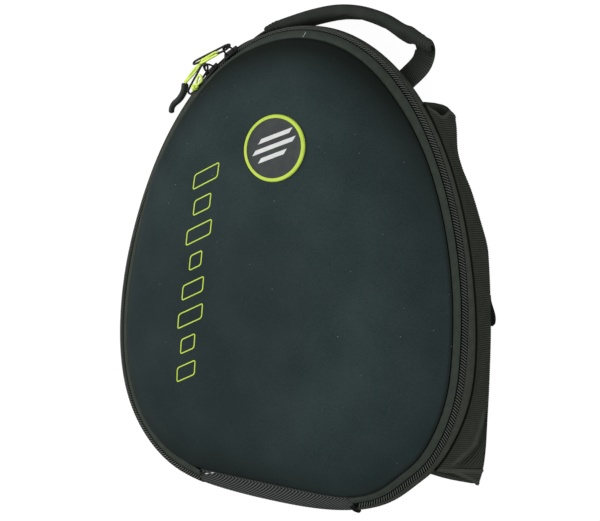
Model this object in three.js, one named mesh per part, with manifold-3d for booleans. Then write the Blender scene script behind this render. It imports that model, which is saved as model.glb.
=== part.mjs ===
// A small moulded motorcycle tank bag, lying on its back with the domed lid up.
// Millimetres, X to the right, Y toward the handle, Z up. Heights are above the surface it lies on.

import * as THREE from 'three';
import { mergeVertices } from 'three/addons/utils/BufferGeometryUtils.js';
import Module from 'manifold-3d';

// Rim: the zip runs round this egg outline, made of two Bezier spans on each side
const ZIP_HEIGHT = 40;
const RIM = {
  topY: 184.5,
  bottomY: -181,
  halfWidth: 147.5,
  widestY: -48,
  topReach: 93,
  upperReach: 100,
  lowerReach: 128,
  bottomReach: 67,
};
const RIM_STEPS = 60;
const GAP = 0.4;

// Zip strips: offset is outward from the rim, rise is above the zip plane
const FRONT_TAPE = [{ offset: -7.5, rise: 5.9 }, { offset: -2.5, rise: 2.4 }];
const CHAIN = [{ offset: -1.95, rise: 1.95 }, { offset: 1.95, rise: -1.95 }];
const BACK_TAPE = [{ offset: 2.5, rise: -2.9 }, { offset: 4.2, rise: -9.3 }];
const TAPE_THICKNESS = 1.4;
const CHAIN_THICKNESS = 1.8;

// Hinge panel at the wide end, between the two ends of the zip
const HINGE_REACH = { right: 71, left: 66 };
const HINGE_LINE_Y = -168;
const HINGE_LINE_SOFTNESS = 3;
const HINGE_THICKNESS = 1.6;
const HINGE_STEPS = 10;
const HINGE_UPPER_DROP = 1;
const HINGE_SHOULDER = { offsetShare: 0.55, riseShare: 0.4 };
const HINGE_CROWN = { offset: -1.2, rise: 0.8 };
const HINGE_BEND = { offset: 2.4, rise: -3.2 };

// Lid: a dome whose sections are the lid edge scaled toward a centre
const LID_EDGE = { offset: -7.9, rise: 6.6 };
const LID_CENTRE = { x: 0, y: -15 };
const LID_WALL = 4;
const LID_HALF_SPAN = 140;
const LID_SECTIONS = [
  { scale: 1.0, rise: 0 },
  { scale: 0.985, rise: 4.2 },
  { scale: 0.96, rise: 9.4 },
  { scale: 0.92, rise: 15.2 },
  { scale: 0.86, rise: 21.6 },
  { scale: 0.76, rise: 28.4 },
  { scale: 0.6, rise: 34.3 },
  { scale: 0.4, rise: 37.8 },
  { scale: 0.18, rise: 39.4 },
];

// Back tray behind the zip: offset is outward from the rim
const BACK_WALL = 2.6;
const BACK_SECTIONS = [
  { offset: 2, height: 30 },
  { offset: 0, height: 20 },
  { offset: -3, height: 11 },
  { offset: -8, height: 5 },
  { offset: -16, height: 2.7 },
];

// Wings: cloth that leaves the rim, rounds a fold and laps flat under the tray
const WING_THICKNESS = 2.4;
const WING_STEPS = 22;
const WING_SEAM_OFFSET = 5.1;
// reach goes from 0 at the seam to 1 at the fold, inward is the way back under the bag from the fold
const WING_SECTION = [
  { reach: 0, inward: 0, height: 30.6, topY: 136.5, bottomY: -135.5 },
  { reach: 0.45, inward: 0, height: 22, topY: 128, bottomY: -140 },
  { reach: 0.85, inward: 0, height: 13, topY: 122, bottomY: -144.5 },
  { reach: 1, inward: 0, height: 6.5, topY: 120, bottomY: -147.5 },
  { reach: 1, inward: 2.5, height: 2, topY: 126, bottomY: -148 },
  { reach: 1, inward: 8, height: 0, topY: 134, bottomY: -148 },
  { reach: 1, inward: 30, height: 0, topY: 136, bottomY: -148 },
  { reach: 1, inward: 75, height: 0, topY: 128, bottomY: -142 },
];
// The left wing ends higher, right and left are how far each fold stands from the middle
const WING_BOTTOM_RISE = { right: 0, left: 24 };
const WING_FOLD = [
  { y: -148, right: 156, left: 134 },
  { y: -136, right: 159, left: 141 },
  { y: -120, right: 159, left: 149 },
  { y: -90, right: 158.5, left: 157 },
  { y: -64, right: 156.5, left: 159.3 },
  { y: -37, right: 154.5, left: 157 },
  { y: 8, right: 150, left: 150 },
  { y: 29, right: 147, left: 147 },
  { y: 51, right: 137, left: 137 },
  { y: 72, right: 127, left: 127 },
  { y: 90, right: 118, left: 118 },
  { y: 110, right: 113, left: 113 },
  { y: 140, right: 108, left: 108 },
];

// Small woven tab at the right wing's fold
const TAB = { topY: -4, bottomY: -28, reach: 3.4, height: 5, thickness: 1.4 };

// Handle: middle line and the way the webbing's width points, from its right end to its left end
const STRAP = { width: 20, thickness: 1.6 };
const SLEEVE = { width: 27, thickness: 9.5, corner: 0.55, sides: 10 };
const SLEEVE_BORE = { width: 21.4, thickness: 4.2, corner: 0.12 };
const HANDLE_STEPS = 40;
const SLEEVE_STEPS = { from: 8, to: 30 };
const HANDLE = [
  { x: 76.5, y: 153.7, height: 26.6, wide: [0.71, -0.66, 0.22] },
  { x: 84.5, y: 160.6, height: 27.4, wide: [0.7, -0.5, 0.5] },
  { x: 90, y: 172.5, height: 28.4, wide: [0.74, -0.25, 0.6] },
  { x: 87.5, y: 179.6, height: 27.6, wide: [0.62, 0, 0.78] },
  { x: 79, y: 183.4, height: 26.8, wide: [0.5, 0.1, 0.86] },
  { x: 70.3, y: 186.6, height: 26, wide: [0.3, 0.1, 0.95] },
  { x: 56.7, y: 193.4, height: 24, wide: [0.1, 0.1, 0.99] },
  { x: 36, y: 199, height: 22, wide: [0, 0, 1] },
  { x: 16.4, y: 198.3, height: 19.5, wide: [0, 0, 1] },
  { x: -4, y: 193.3, height: 17.5, wide: [0, 0, 1] },
  { x: -24.8, y: 187, height: 16.2, wide: [0, 0, 1] },
  { x: -41, y: 181.8, height: 16, wide: [0, 0, 1] },
  { x: -51.8, y: 175.9, height: 15.8, wide: [0, 0, 1] },
  { x: -60.3, y: 168.2, height: 15.5, wide: [0, 0, 1] },
  { x: -68.6, y: 161.4, height: 15.5, wide: [0, 0, 1] },
  { x: -75, y: 155.3, height: 15.5, wide: [0, 0, 1] },
];

// Zip pulls: where each slider sits on the rim, the degrees its puller swings out and lifts,
// and the routes of its cord and its grip
const SLIDER = { length: 13, frontWidth: 10.5, backWidth: 8, thickness: 2.5, bevel: 0.5 };
const BAIL = { length: 8.5, height: 5.6, width: 1.4, bar: 1.3, steps: 10 };
const PULL_WIRE = { length: 31, width: 7.2, endWidth: 5.2, flatShare: 0.6, radius: 0.7, steps: 28, sides: 6 };
const CORD = { radius: 1.2, steps: 16, sides: 8 };
const GRIP = { radius: 2.5, steps: 10, sides: 10 };
const PULLS = [
  {
    key: 'a',
    sliderX: -64.5,
    swing: 16,
    lift: 16,
    cord: [
      [-78, 159.2, 42.8], [-87.4, 156, 42.4], [-95.3, 152.9, 41.6], [-101.5, 150.2, 37.5],
      [-109, 146.8, 28], [-117, 142.6, 15], [-122.4, 139.6, 6.2], [-125.6, 137.3, 3],
    ],
    grip: [
      [-126.6, 136.4, 2.8], [-129.8, 131, 2.8], [-132, 124.5, 2.8],
      [-136, 117.5, 2.8], [-138.4, 110, 2.8],
    ],
  },
  {
    key: 'b',
    sliderX: -83,
    swing: 0,
    lift: 0,
    cord: [
      [-93.1, 135.5, 42.8], [-99.3, 127.7, 42.3], [-104.3, 121, 41.5], [-108.5, 117, 36.5],
      [-113.5, 112.5, 27], [-117.5, 108, 16], [-120.8, 103.4, 6.5], [-122.6, 99.4, 3],
    ],
    grip: [
      [-123, 98.1, 2.8], [-125, 92, 2.8], [-128, 86, 2.8],
      [-130.5, 79, 2.8], [-133, 72, 2.8],
    ],
  },
];

// Badge: a thin round patch that follows the dome
const BADGE = { y: 92, radius: 25, thickness: 1.2, rings: 2, sides: 24 };

// Colours, roughness and metalness by material
const FINISHES = {
  lidCloth: { color: 0x232b2b, roughness: 0.75 },
  tape: { color: 0x343633, roughness: 0.9 },
  coil: { color: 0x1b1d1b, roughness: 0.5 },
  ribbedCloth: { color: 0x262824, roughness: 0.9 },
  twill: { color: 0x242624, roughness: 0.85 },
  webbing: { color: 0x2a2c29, roughness: 0.85 },
  sleeveCloth: { color: 0x272b29, roughness: 0.8 },
  blackMetal: { color: 0x141514, roughness: 0.35, metalness: 0.9 },
  neonCord: { color: 0xc8e63c, roughness: 0.7 },
  rubber: { color: 0x2c302e, roughness: 0.6 },
  patch: { color: 0x5b6160, roughness: 0.6 },
};

const wasm = await Module();
wasm.setup();

// Helpers for rows of numbers
const range = (count) => Array.from({ length: count }, (_, i) => i);
const mix = THREE.MathUtils.lerp;
const mirrored = (point) => new THREE.Vector3(-point.x, point.y, point.z);

function interpolate(rows, key, value, at) {
  const last = rows.length - 1;
  const i = rows.findIndex((row, k) => k === last - 1 || at <= rows[k + 1][key]);
  const share = (at - rows[i][key]) / (rows[i + 1][key] - rows[i][key]);
  return mix(rows[i][value], rows[i + 1][value], share);
}

// Meshes from points and triangles, turned so that the faces point out
function geometryFrom(points, triangles) {
  let volume = 0;
  for (let i = 0; i < triangles.length; i += 3) {
    const [a, b, c] = triangles.slice(i, i + 3).map((k) => points[k]);
    volume += a.dot(new THREE.Vector3().crossVectors(b, c));
  }
  const geometry = new THREE.BufferGeometry();
  geometry.setFromPoints(points);
  geometry.setIndex(volume < 0 ? triangles.toReversed() : triangles);
  return geometry;
}

// A wall between two equal grids of points, looped along its columns or capped at its last row
function wall(outer, inner, { loop = false, capped = false } = {}) {
  const rows = outer.length;
  const columns = outer[0].length;
  const points = [...outer.flat(), ...inner.flat()];
  const far = rows * columns;
  const triangles = [];
  const quad = (a, b, c, d) => triangles.push(a, b, c, a, c, d);
  const id = (row, column) => row * columns + (column % columns);
  const spans = loop ? columns : columns - 1;
  for (const c of range(spans)) {
    for (const r of range(rows - 1)) {
      quad(id(r, c), id(r, c + 1), id(r + 1, c + 1), id(r + 1, c));
      quad(far + id(r, c), far + id(r + 1, c), far + id(r + 1, c + 1), far + id(r, c + 1));
    }
    quad(id(0, c), far + id(0, c), far + id(0, c + 1), id(0, c + 1));
    if (!capped) {
      const end = rows - 1;
      quad(id(end, c), id(end, c + 1), far + id(end, c + 1), far + id(end, c));
    }
  }
  if (!loop) {
    const end = columns - 1;
    for (const r of range(rows - 1)) {
      quad(id(r, 0), id(r + 1, 0), far + id(r + 1, 0), far + id(r, 0));
      quad(id(r, end), far + id(r, end), far + id(r + 1, end), id(r + 1, end));
    }
  }
  if (capped) {
    const centre = (grid) => {
      const sum = new THREE.Vector3();
      grid[rows - 1].forEach((p) => sum.add(p));
      return sum.divideScalar(columns);
    };
    points.push(centre(outer), centre(inner));
    for (const c of range(spans)) {
      triangles.push(id(rows - 1, c), id(rows - 1, c + 1), 2 * far);
      triangles.push(far + id(rows - 1, c + 1), far + id(rows - 1, c), 2 * far + 1);
    }
  }
  return geometryFrom(points, triangles);
}

// A solid through convex rings, closed by a fan at each end
function loft(rings) {
  const sides = rings[0].length;
  const points = rings.flat();
  const triangles = [];
  const id = (ring, k) => ring * sides + (k % sides);
  for (const r of range(rings.length - 1)) {
    for (const k of range(sides)) {
      triangles.push(id(r, k), id(r, k + 1), id(r + 1, k + 1), id(r, k), id(r + 1, k + 1), id(r + 1, k));
    }
  }
  const end = rings.length - 1;
  for (const k of range(sides - 2)) {
    triangles.push(id(0, 0), id(0, k + 2), id(0, k + 1));
    triangles.push(id(end, 0), id(end, k + 1), id(end, k + 2));
  }
  return geometryFrom(points, triangles);
}

// Boolean join of closed geometries
function solidOf(geometry) {
  const bare = geometry.clone();
  bare.deleteAttribute('normal');
  bare.deleteAttribute('uv');
  const merged = mergeVertices(bare);
  return new wasm.Manifold(new wasm.Mesh({
    numProp: 3,
    vertProperties: new Float32Array(merged.attributes.position.array),
    triVerts: new Uint32Array(merged.index.array),
  }));
}

function joined(...geometries) {
  const mesh = geometries.map(solidOf).reduce((sum, next) => sum.add(next)).getMesh();
  const geometry = new THREE.BufferGeometry();
  geometry.setAttribute('position', new THREE.BufferAttribute(mesh.vertProperties, 3));
  geometry.setIndex(new THREE.BufferAttribute(mesh.triVerts, 1));
  return geometry;
}

// The bag with one named mesh for each piece
const bag = new THREE.Group();

function add(name, finish, geometry) {
  const material = new THREE.MeshStandardMaterial(FINISHES[finish]);
  const mesh = new THREE.Mesh(geometry, material);
  mesh.name = name;
  bag.add(mesh);
  return mesh;
}

// Rim outline, clockwise from the middle of the handle end
function rimOutline() {
  const { topY, bottomY, halfWidth, widestY } = RIM;
  const upperY = widestY + RIM.upperReach;
  const lowerY = widestY - RIM.lowerReach;
  const path = new THREE.Path();
  path.moveTo(0, topY);
  path.bezierCurveTo(RIM.topReach, topY, halfWidth, upperY, halfWidth, widestY);
  path.bezierCurveTo(halfWidth, lowerY, RIM.bottomReach, bottomY, 0, bottomY);
  path.bezierCurveTo(-RIM.bottomReach, bottomY, -halfWidth, lowerY, -halfWidth, widestY);
  path.bezierCurveTo(-halfWidth, upperY, -RIM.topReach, topY, 0, topY);
  return path;
}

const rimPath = rimOutline();
const rimLength = rimPath.getLength();
// Turns where the zip starts on the left and ends on the right of the hinge
const zipStart = HINGE_REACH.left / rimLength - 0.5;
const zipEnd = 0.5 - HINGE_REACH.right / rimLength;

function rimFrame(turn) {
  const at = THREE.MathUtils.euclideanModulo(turn, 1);
  const tangent = rimPath.getTangent(at);
  return { point: rimPath.getPoint(at), tangent, normal: new THREE.Vector2(-tangent.y, tangent.x) };
}

function rimPoint(turn, offset, height) {
  const { point, normal } = rimFrame(turn);
  point.addScaledVector(normal, offset);
  return new THREE.Vector3(point.x, point.y, height);
}

// Turn on the right half of the rim where a coordinate takes a value
function turnWhere(axis, value, from, to) {
  let [low, high] = [from, to];
  for (let i = 0; i < 40; i += 1) {
    const middle = (low + high) / 2;
    const beyond = axis === 'y' ? rimFrame(middle).point.y < value : rimFrame(middle).point.x > value;
    if (beyond) high = middle;
    else low = middle;
  }
  return (low + high) / 2;
}

// Strips along the rim
function backOf(profile, thickness) {
  return profile.map((row, i) => {
    const before = profile[Math.max(i - 1, 0)];
    const after = profile[Math.min(i + 1, profile.length - 1)];
    const way = new THREE.Vector2(after.offset - before.offset, after.rise - before.rise).normalize();
    return { offset: row.offset + way.y * thickness, rise: row.rise - way.x * thickness };
  });
}

function strip(profileAt, thickness, from, to, steps) {
  const turns = range(steps + 1).map((k) => mix(from, to, k / steps));
  const front = turns.map(profileAt);
  const back = front.map((profile) => backOf(profile, thickness));
  const grid = (profiles) => profiles[0].map((_, row) => turns.map((turn, k) => {
    const { offset, rise } = profiles[k][row];
    return rimPoint(turn, offset, ZIP_HEIGHT + rise);
  }));
  return wall(grid(front), grid(back));
}

function buildZip() {
  const zipStrip = (profile, thickness) => (
    strip(() => profile, thickness, zipStart, zipEnd, RIM_STEPS - HINGE_STEPS)
  );
  add('zip_tape_front', 'tape', zipStrip(FRONT_TAPE, TAPE_THICKNESS));
  add('zip_chain', 'coil', zipStrip(CHAIN, CHAIN_THICKNESS));
  add('zip_tape_back', 'tape', zipStrip(BACK_TAPE, TAPE_THICKNESS));
}

// Lid edge: the rim moved in, held straight along the hinge line
function lidEdge(turn) {
  const edge = rimPoint(turn, LID_EDGE.offset, ZIP_HEIGHT + LID_EDGE.rise);
  const over = edge.y - HINGE_LINE_Y;
  edge.y = HINGE_LINE_Y + (over + Math.hypot(over, HINGE_LINE_SOFTNESS)) / 2;
  return edge;
}

function lidPoint(turn, scale, rise) {
  const edge = lidEdge(turn);
  return new THREE.Vector3(
    mix(LID_CENTRE.x, edge.x, scale),
    mix(LID_CENTRE.y, edge.y, scale),
    edge.z + rise,
  );
}

function buildLid() {
  const turns = range(RIM_STEPS).map((k) => k / RIM_STEPS);
  const profile = LID_SECTIONS.map(({ scale, rise }) => ({ offset: scale * LID_HALF_SPAN, rise }));
  const inside = backOf(profile.toReversed(), LID_WALL).toReversed().map(({ offset, rise }, i) => ({
    scale: offset / LID_HALF_SPAN,
    rise: i === 0 ? 0 : rise,
  }));
  const grid = (rows) => rows.map(({ scale, rise }) => turns.map((turn) => lidPoint(turn, scale, rise)));
  add('lid_shell', 'lidCloth', wall(grid(LID_SECTIONS), grid(inside), { loop: true, capped: true }));
}

function buildHinge() {
  const [, lower] = BACK_TAPE;
  const profileAt = (turn) => {
    const { point, normal } = rimFrame(turn);
    const edge = lidEdge(turn);
    const inset = (edge.x - point.x) * normal.x + (edge.y - point.y) * normal.y;
    const upper = { offset: inset + GAP, rise: LID_EDGE.rise - HINGE_UPPER_DROP };
    const shoulder = {
      offset: mix(upper.offset, HINGE_CROWN.offset, HINGE_SHOULDER.offsetShare),
      rise: mix(upper.rise, HINGE_CROWN.rise, HINGE_SHOULDER.riseShare),
    };
    return [upper, shoulder, HINGE_CROWN, HINGE_BEND, lower];
  };
  const [from, to] = [zipEnd + GAP / rimLength, 1 + zipStart - GAP / rimLength];
  add('hinge_panel', 'twill', strip(profileAt, HINGE_THICKNESS, from, to, HINGE_STEPS));
}

function buildBack() {
  const turns = range(RIM_STEPS).map((k) => k / RIM_STEPS);
  const profile = BACK_SECTIONS.map(({ offset, height }) => ({ offset, rise: height }));
  const inside = backOf(profile, BACK_WALL);
  inside[0].rise = profile[0].rise;
  const grid = (rows) => rows.map(({ offset, rise }) => turns.map((turn) => rimPoint(turn, offset, rise)));
  add('back_shell', 'ribbedCloth', wall(grid(profile), grid(inside), { loop: true, capped: true }));
}

// Wings: rows go round the fold, columns go along the bag
function wingGeometry(side) {
  const rowAt = ({ reach, inward, height, topY, bottomY }, share) => {
    const y = mix(bottomY + WING_BOTTOM_RISE[side], topY, share);
    const turn = turnWhere('y', y, 0, 0.5);
    const seam = rimPoint(turn, WING_SEAM_OFFSET, height);
    const fold = interpolate(WING_FOLD, 'y', side, y);
    const x = mix(seam.x, fold, reach) - inward;
    return new THREE.Vector3(x, mix(seam.y, y, Math.min(1, reach * 2)), height);
  };
  const outer = WING_SECTION.map((row) => range(WING_STEPS + 1).map((k) => rowAt(row, k / WING_STEPS)));
  const inner = outer.map((row, r) => row.map((point, c) => {
    const before = outer[Math.max(r - 1, 0)][c];
    const after = outer[Math.min(r + 1, outer.length - 1)][c];
    const way = new THREE.Vector2(after.x - before.x, after.z - before.z).normalize();
    return new THREE.Vector3(point.x + way.y * WING_THICKNESS, point.y, point.z - way.x * WING_THICKNESS);
  }));
  const placed = (grid) => (side === 'right' ? grid : grid.map((row) => row.map(mirrored)));
  return wall(placed(outer), placed(inner));
}

function buildWings() {
  add('wing_right', 'ribbedCloth', wingGeometry('right'));
  add('wing_left', 'ribbedCloth', wingGeometry('left'));
}

function buildTab() {
  const foldAt = (y) => interpolate(WING_FOLD, 'y', 'right', y) + GAP;
  const { topY, bottomY, reach, height, thickness } = TAB;
  const outline = new THREE.Shape([
    new THREE.Vector2(foldAt(topY), topY),
    new THREE.Vector2(foldAt(bottomY), bottomY),
    new THREE.Vector2(foldAt(bottomY) + reach, bottomY),
    new THREE.Vector2(foldAt(bottomY) + reach, bottomY + reach),
  ]);
  const geometry = new THREE.ExtrudeGeometry(outline, { depth: thickness, bevelEnabled: false });
  add('side_tab', 'webbing', geometry).position.z = height;
}

// Handle: frames along the middle line, with the webbing's width kept square to it
function handleFrames() {
  const line = new THREE.CatmullRomCurve3(HANDLE.map((s) => new THREE.Vector3(s.x, s.y, s.height)));
  const wides = new THREE.CatmullRomCurve3(HANDLE.map((s) => new THREE.Vector3(...s.wide)));
  return (share) => {
    const way = line.getTangent(share);
    const wide = wides.getPoint(share).addScaledVector(way, -wides.getPoint(share).dot(way)).normalize();
    return { at: line.getPoint(share), wide, thick: new THREE.Vector3().crossVectors(way, wide) };
  };
}

function buildHandle() {
  const frameAt = handleFrames();
  const place = ({ at, wide, thick }, a, b) => at.clone().addScaledVector(wide, a).addScaledVector(thick, b);
  const halfWidth = STRAP.width / 2;
  const halfThick = STRAP.thickness / 2;
  const corners = [[1, 1], [-1, 1], [-1, -1], [1, -1]];
  const strapRing = (frame) => corners.map(([a, b]) => place(frame, a * halfWidth, b * halfThick));
  const strapRings = range(HANDLE_STEPS + 1).map((k) => strapRing(frameAt(k / HANDLE_STEPS)));
  add('handle_strap', 'webbing', loft(strapRings));

  const rounded = ({ width, thickness, corner }) => range(SLEEVE.sides).map((k) => {
    const angle = ((k + 0.5) / SLEEVE.sides) * 2 * Math.PI;
    const pull = (v) => Math.sign(v) * Math.abs(v) ** corner;
    return [pull(Math.cos(angle)) * width / 2, pull(Math.sin(angle)) * thickness / 2];
  });
  const rings = (section) => range(SLEEVE_STEPS.to - SLEEVE_STEPS.from + 1).map((k) => {
    const frame = frameAt((SLEEVE_STEPS.from + k) / HANDLE_STEPS);
    return section.map(([a, b]) => place(frame, a, b));
  });
  const outside = rings(rounded(SLEEVE));
  const bore = rings(rounded(SLEEVE_BORE));
  add('handle_sleeve', 'sleeveCloth', wall(outside, bore, { loop: true }));
}

// Zip pulls: a slider on the chain, a wire loop through its bail, a cord and a grip
function sliderGeometry() {
  const { length, frontWidth, backWidth, thickness, bevel } = SLIDER;
  const outline = [
    [-length / 2, -backWidth / 2], [0, -frontWidth / 2], [length / 2, -frontWidth / 2],
    [length / 2, frontWidth / 2], [0, frontWidth / 2], [-length / 2, backWidth / 2],
  ];
  const ring = (inset, height) => outline.map(([x, y]) => new THREE.Vector3(
    x * (1 - 2 * inset / length),
    y * (1 - 2 * inset / frontWidth),
    height,
  ));
  const plate = loft([ring(bevel, 0), ring(0, bevel), ring(0, thickness - bevel), ring(bevel, thickness)]);

  const foot = thickness - 2 * bevel;
  const arch = (inset) => [-BAIL.width / 2, BAIL.width / 2].map((y) => range(BAIL.steps + 1).map((k) => {
    const angle = Math.PI * (1 - k / BAIL.steps);
    const [reach, height] = [BAIL.length / 2 - inset, BAIL.height - inset];
    return new THREE.Vector3(Math.cos(angle) * reach, y, foot + Math.sin(angle) * height);
  }));
  return joined(plate, wall(arch(0), arch(BAIL.bar)));
}

function pullWireGeometry() {
  const { length, width, endWidth, flatShare, radius, steps, sides } = PULL_WIRE;
  const [side, endSide] = [width / 2 - radius, endWidth / 2 - radius];
  const [start, end] = [-radius, length - radius];
  const points = [
    [start, -side * flatShare], [start, side * flatShare], [start + side, side], [end - endSide, endSide],
    [end, endSide * flatShare], [end, -endSide * flatShare], [end - endSide, -endSide], [start + side, -side],
  ].map(([x, y]) => new THREE.Vector3(x, y, 0));
  const path = new THREE.CatmullRomCurve3(points, true, 'centripetal');
  const tube = new THREE.TubeGeometry(path, steps, radius, sides, true);
  tube.deleteAttribute('normal');
  tube.deleteAttribute('uv');
  return mergeVertices(tube);
}

function cordGeometry(route, { radius, steps, sides }) {
  const section = new THREE.Shape(range(sides).map((k) => {
    const angle = (k / sides) * 2 * Math.PI;
    return new THREE.Vector2(Math.cos(angle) * radius, Math.sin(angle) * radius);
  }));
  const points = route.map((p) => new THREE.Vector3(...p));
  const extrudePath = new THREE.CatmullRomCurve3(points, false, 'centripetal');
  return new THREE.ExtrudeGeometry(section, { steps, extrudePath, bevelEnabled: false });
}

function buildPull({ key, sliderX, swing, lift, cord, grip }) {
  const turn = -turnWhere('x', -sliderX, 0, 0.25);
  const { tangent, normal } = rimFrame(turn);
  const along = new THREE.Vector3(-tangent.x, -tangent.y, 0);
  const out = new THREE.Vector3(normal.x, normal.y, 1).normalize();
  const across = new THREE.Vector3().crossVectors(out, along);
  const seat = rimPoint(turn, 0, ZIP_HEIGHT).addScaledVector(out, GAP);
  const slider = add(`slider_${key}`, 'blackMetal', sliderGeometry());
  slider.quaternion.setFromRotationMatrix(new THREE.Matrix4().makeBasis(along, across, out));
  slider.position.copy(seat);

  const bailFoot = SLIDER.thickness - 2 * SLIDER.bevel;
  const eyeHeight = bailFoot + BAIL.height - BAIL.bar - 2 * PULL_WIRE.radius;
  const eye = seat.clone().addScaledVector(out, eyeHeight);
  const level = along.clone().applyAxisAngle(out, -THREE.MathUtils.degToRad(swing));
  const side = new THREE.Vector3().crossVectors(out, level);
  const way = level.clone().applyAxisAngle(side, -THREE.MathUtils.degToRad(lift));
  const up = new THREE.Vector3().crossVectors(way, side);
  const wire = add(`pull_wire_${key}`, 'blackMetal', pullWireGeometry());
  wire.quaternion.setFromRotationMatrix(new THREE.Matrix4().makeBasis(way, side, up));
  wire.position.copy(eye);

  add(`pull_cord_${key}`, 'neonCord', cordGeometry(cord, CORD));
  add(`pull_grip_${key}`, 'rubber', cordGeometry(grip, GRIP));
}

// Badge: rings of points on the dome, lifted by the gap and by the patch's thickness
function domeHeight(x, y) {
  const reach = new THREE.Vector2(x - LID_CENTRE.x, y - LID_CENTRE.y);
  const away = reach.length();
  let nearest = { miss: Infinity, radius: 1 };
  for (const k of range(4 * RIM_STEPS)) {
    const edge = lidEdge(k / (4 * RIM_STEPS));
    const ray = new THREE.Vector2(edge.x - LID_CENTRE.x, edge.y - LID_CENTRE.y);
    const miss = 1 - ray.dot(reach) / (ray.length() * Math.max(away, 1e-6));
    if (miss < nearest.miss) nearest = { miss, radius: ray.length() };
  }
  const rows = LID_SECTIONS.toReversed();
  return ZIP_HEIGHT + LID_EDGE.rise + interpolate(rows, 'scale', 'rise', away / nearest.radius);
}

function buildBadge() {
  const { y, radius, thickness, rings, sides } = BADGE;
  const grid = (lift) => range(rings).map((r) => range(sides).map((k) => {
    const angle = (k / sides) * 2 * Math.PI;
    const reach = radius * (1 - r / rings);
    const [px, py] = [Math.cos(angle) * reach, y + Math.sin(angle) * reach];
    return new THREE.Vector3(px, py, domeHeight(px, py) + lift);
  }));
  add('badge', 'patch', wall(grid(GAP + thickness), grid(GAP), { loop: true, capped: true }));
}

buildLid();
buildZip();
buildHinge();
buildBack();
buildWings();
buildTab();
buildHandle();
PULLS.forEach(buildPull);
buildBadge();

// The origin is under the middle of the bag, without the loose cords and grips
const isLoose = (mesh) => mesh.name.startsWith('pull_cord') || mesh.name.startsWith('pull_grip');
const box = new THREE.Box3();
bag.updateMatrixWorld(true);
bag.children.filter((mesh) => !isLoose(mesh)).forEach((mesh) => box.expandByObject(mesh, true));
const middle = box.getCenter(new THREE.Vector3());
bag.position.set(-middle.x, -middle.y, -box.min.z);

export default bag;
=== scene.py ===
"""Visual model of a small egg-shaped motorcycle tank bag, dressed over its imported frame.

Shapes are set out in millimetres in the bag's own coordinates: x to the bag's right, y to its handle end
and height from the ground it lies on. The frame's coordinates are the same ones, shifted and in metres.
"""

from __future__ import annotations

import logging
import math
from contextlib import contextmanager
from dataclasses import dataclass
from enum import Enum
from functools import cache, cached_property
from typing import Callable, Iterator, Sequence

import bpy
import numpy as np
from mathutils import Matrix, Vector
from mathutils.bvhtree import BVHTree

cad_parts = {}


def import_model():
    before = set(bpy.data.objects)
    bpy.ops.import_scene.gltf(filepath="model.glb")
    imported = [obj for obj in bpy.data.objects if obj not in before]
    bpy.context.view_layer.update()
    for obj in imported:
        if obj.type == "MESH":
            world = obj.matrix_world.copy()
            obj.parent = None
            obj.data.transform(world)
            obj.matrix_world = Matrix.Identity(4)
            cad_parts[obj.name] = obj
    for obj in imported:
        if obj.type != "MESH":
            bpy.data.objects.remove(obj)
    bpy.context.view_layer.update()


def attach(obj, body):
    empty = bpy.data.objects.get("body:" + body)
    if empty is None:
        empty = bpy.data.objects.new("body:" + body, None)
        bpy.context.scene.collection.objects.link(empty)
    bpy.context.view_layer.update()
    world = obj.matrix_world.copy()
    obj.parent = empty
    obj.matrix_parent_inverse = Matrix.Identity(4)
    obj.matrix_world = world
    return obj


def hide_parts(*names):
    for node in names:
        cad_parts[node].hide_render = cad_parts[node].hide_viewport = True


LOG = logging.getLogger("tank_bag")
MM = 0.001
BODY = "root"
CLOTH_MAP = "cloth"
# Name of the mesh attribute that carries painted light: nought in full painted shade, one at full light.
SHADE_ATTRIBUTE = "painted_light"
BAG_SHIFT = np.array((-0.034, -9.41, 0.0))
BAG_MIDDLE = np.array((0.0, 0.0, 30.0))

Array = np.ndarray
Piece = bpy.types.Object
Colour = tuple[float, float, float]
Triple = tuple[float, float, float]
Pair = tuple[float, float]
Pairs = tuple[Pair, ...]
Span = tuple[float, float, float, float]
Place = Callable[[Array, Array], Array]


def framed(points: Array) -> Array:
    """Turn bag millimetres into frame metres."""
    return (np.asarray(points, float) + BAG_SHIFT) * MM


def unit(vectors: Array) -> Array:
    """Scale vectors to a length of one."""
    vectors = np.asarray(vectors, float)
    return vectors / np.maximum(np.linalg.norm(vectors, axis=-1, keepdims=True), 1e-12)


def dot(first: Array, second: Array) -> Array:
    """Row by row dot product, kept as a column."""
    return np.sum(first * second, axis=-1, keepdims=True)


def run_of(line: Array) -> Array:
    """Length run from the start of a line to each of its points."""
    return np.concatenate(([0.0], np.cumsum(np.linalg.norm(np.diff(line, axis=0), axis=1))))


def bell(distance: Array, width: float) -> Array:
    """Soft bump of height one, for a distance from its middle."""
    return np.exp(-((distance / width) ** 2))


def ease(value: Array, start: float, end: float) -> Array:
    """Smooth rise from nought at the start to one at the end."""
    share = np.clip((value - start) / (end - start), 0.0, 1.0)
    return share * share * (3.0 - 2.0 * share)


def plateau(value: Array, span: Span) -> Array:
    """Smooth rise over a span's first two marks and fall over its last two."""
    return ease(value, span[0], span[1]) * ease(-value, -span[3], -span[2])


class Side(Enum):
    """Sides of the bag, as a sign of x."""

    RIGHT = 1
    LEFT = -1


class Grain(Enum):
    """Ways that a surface is worked at a small scale."""

    WEAVE = "weave"
    PEBBLE = "pebble"


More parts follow.
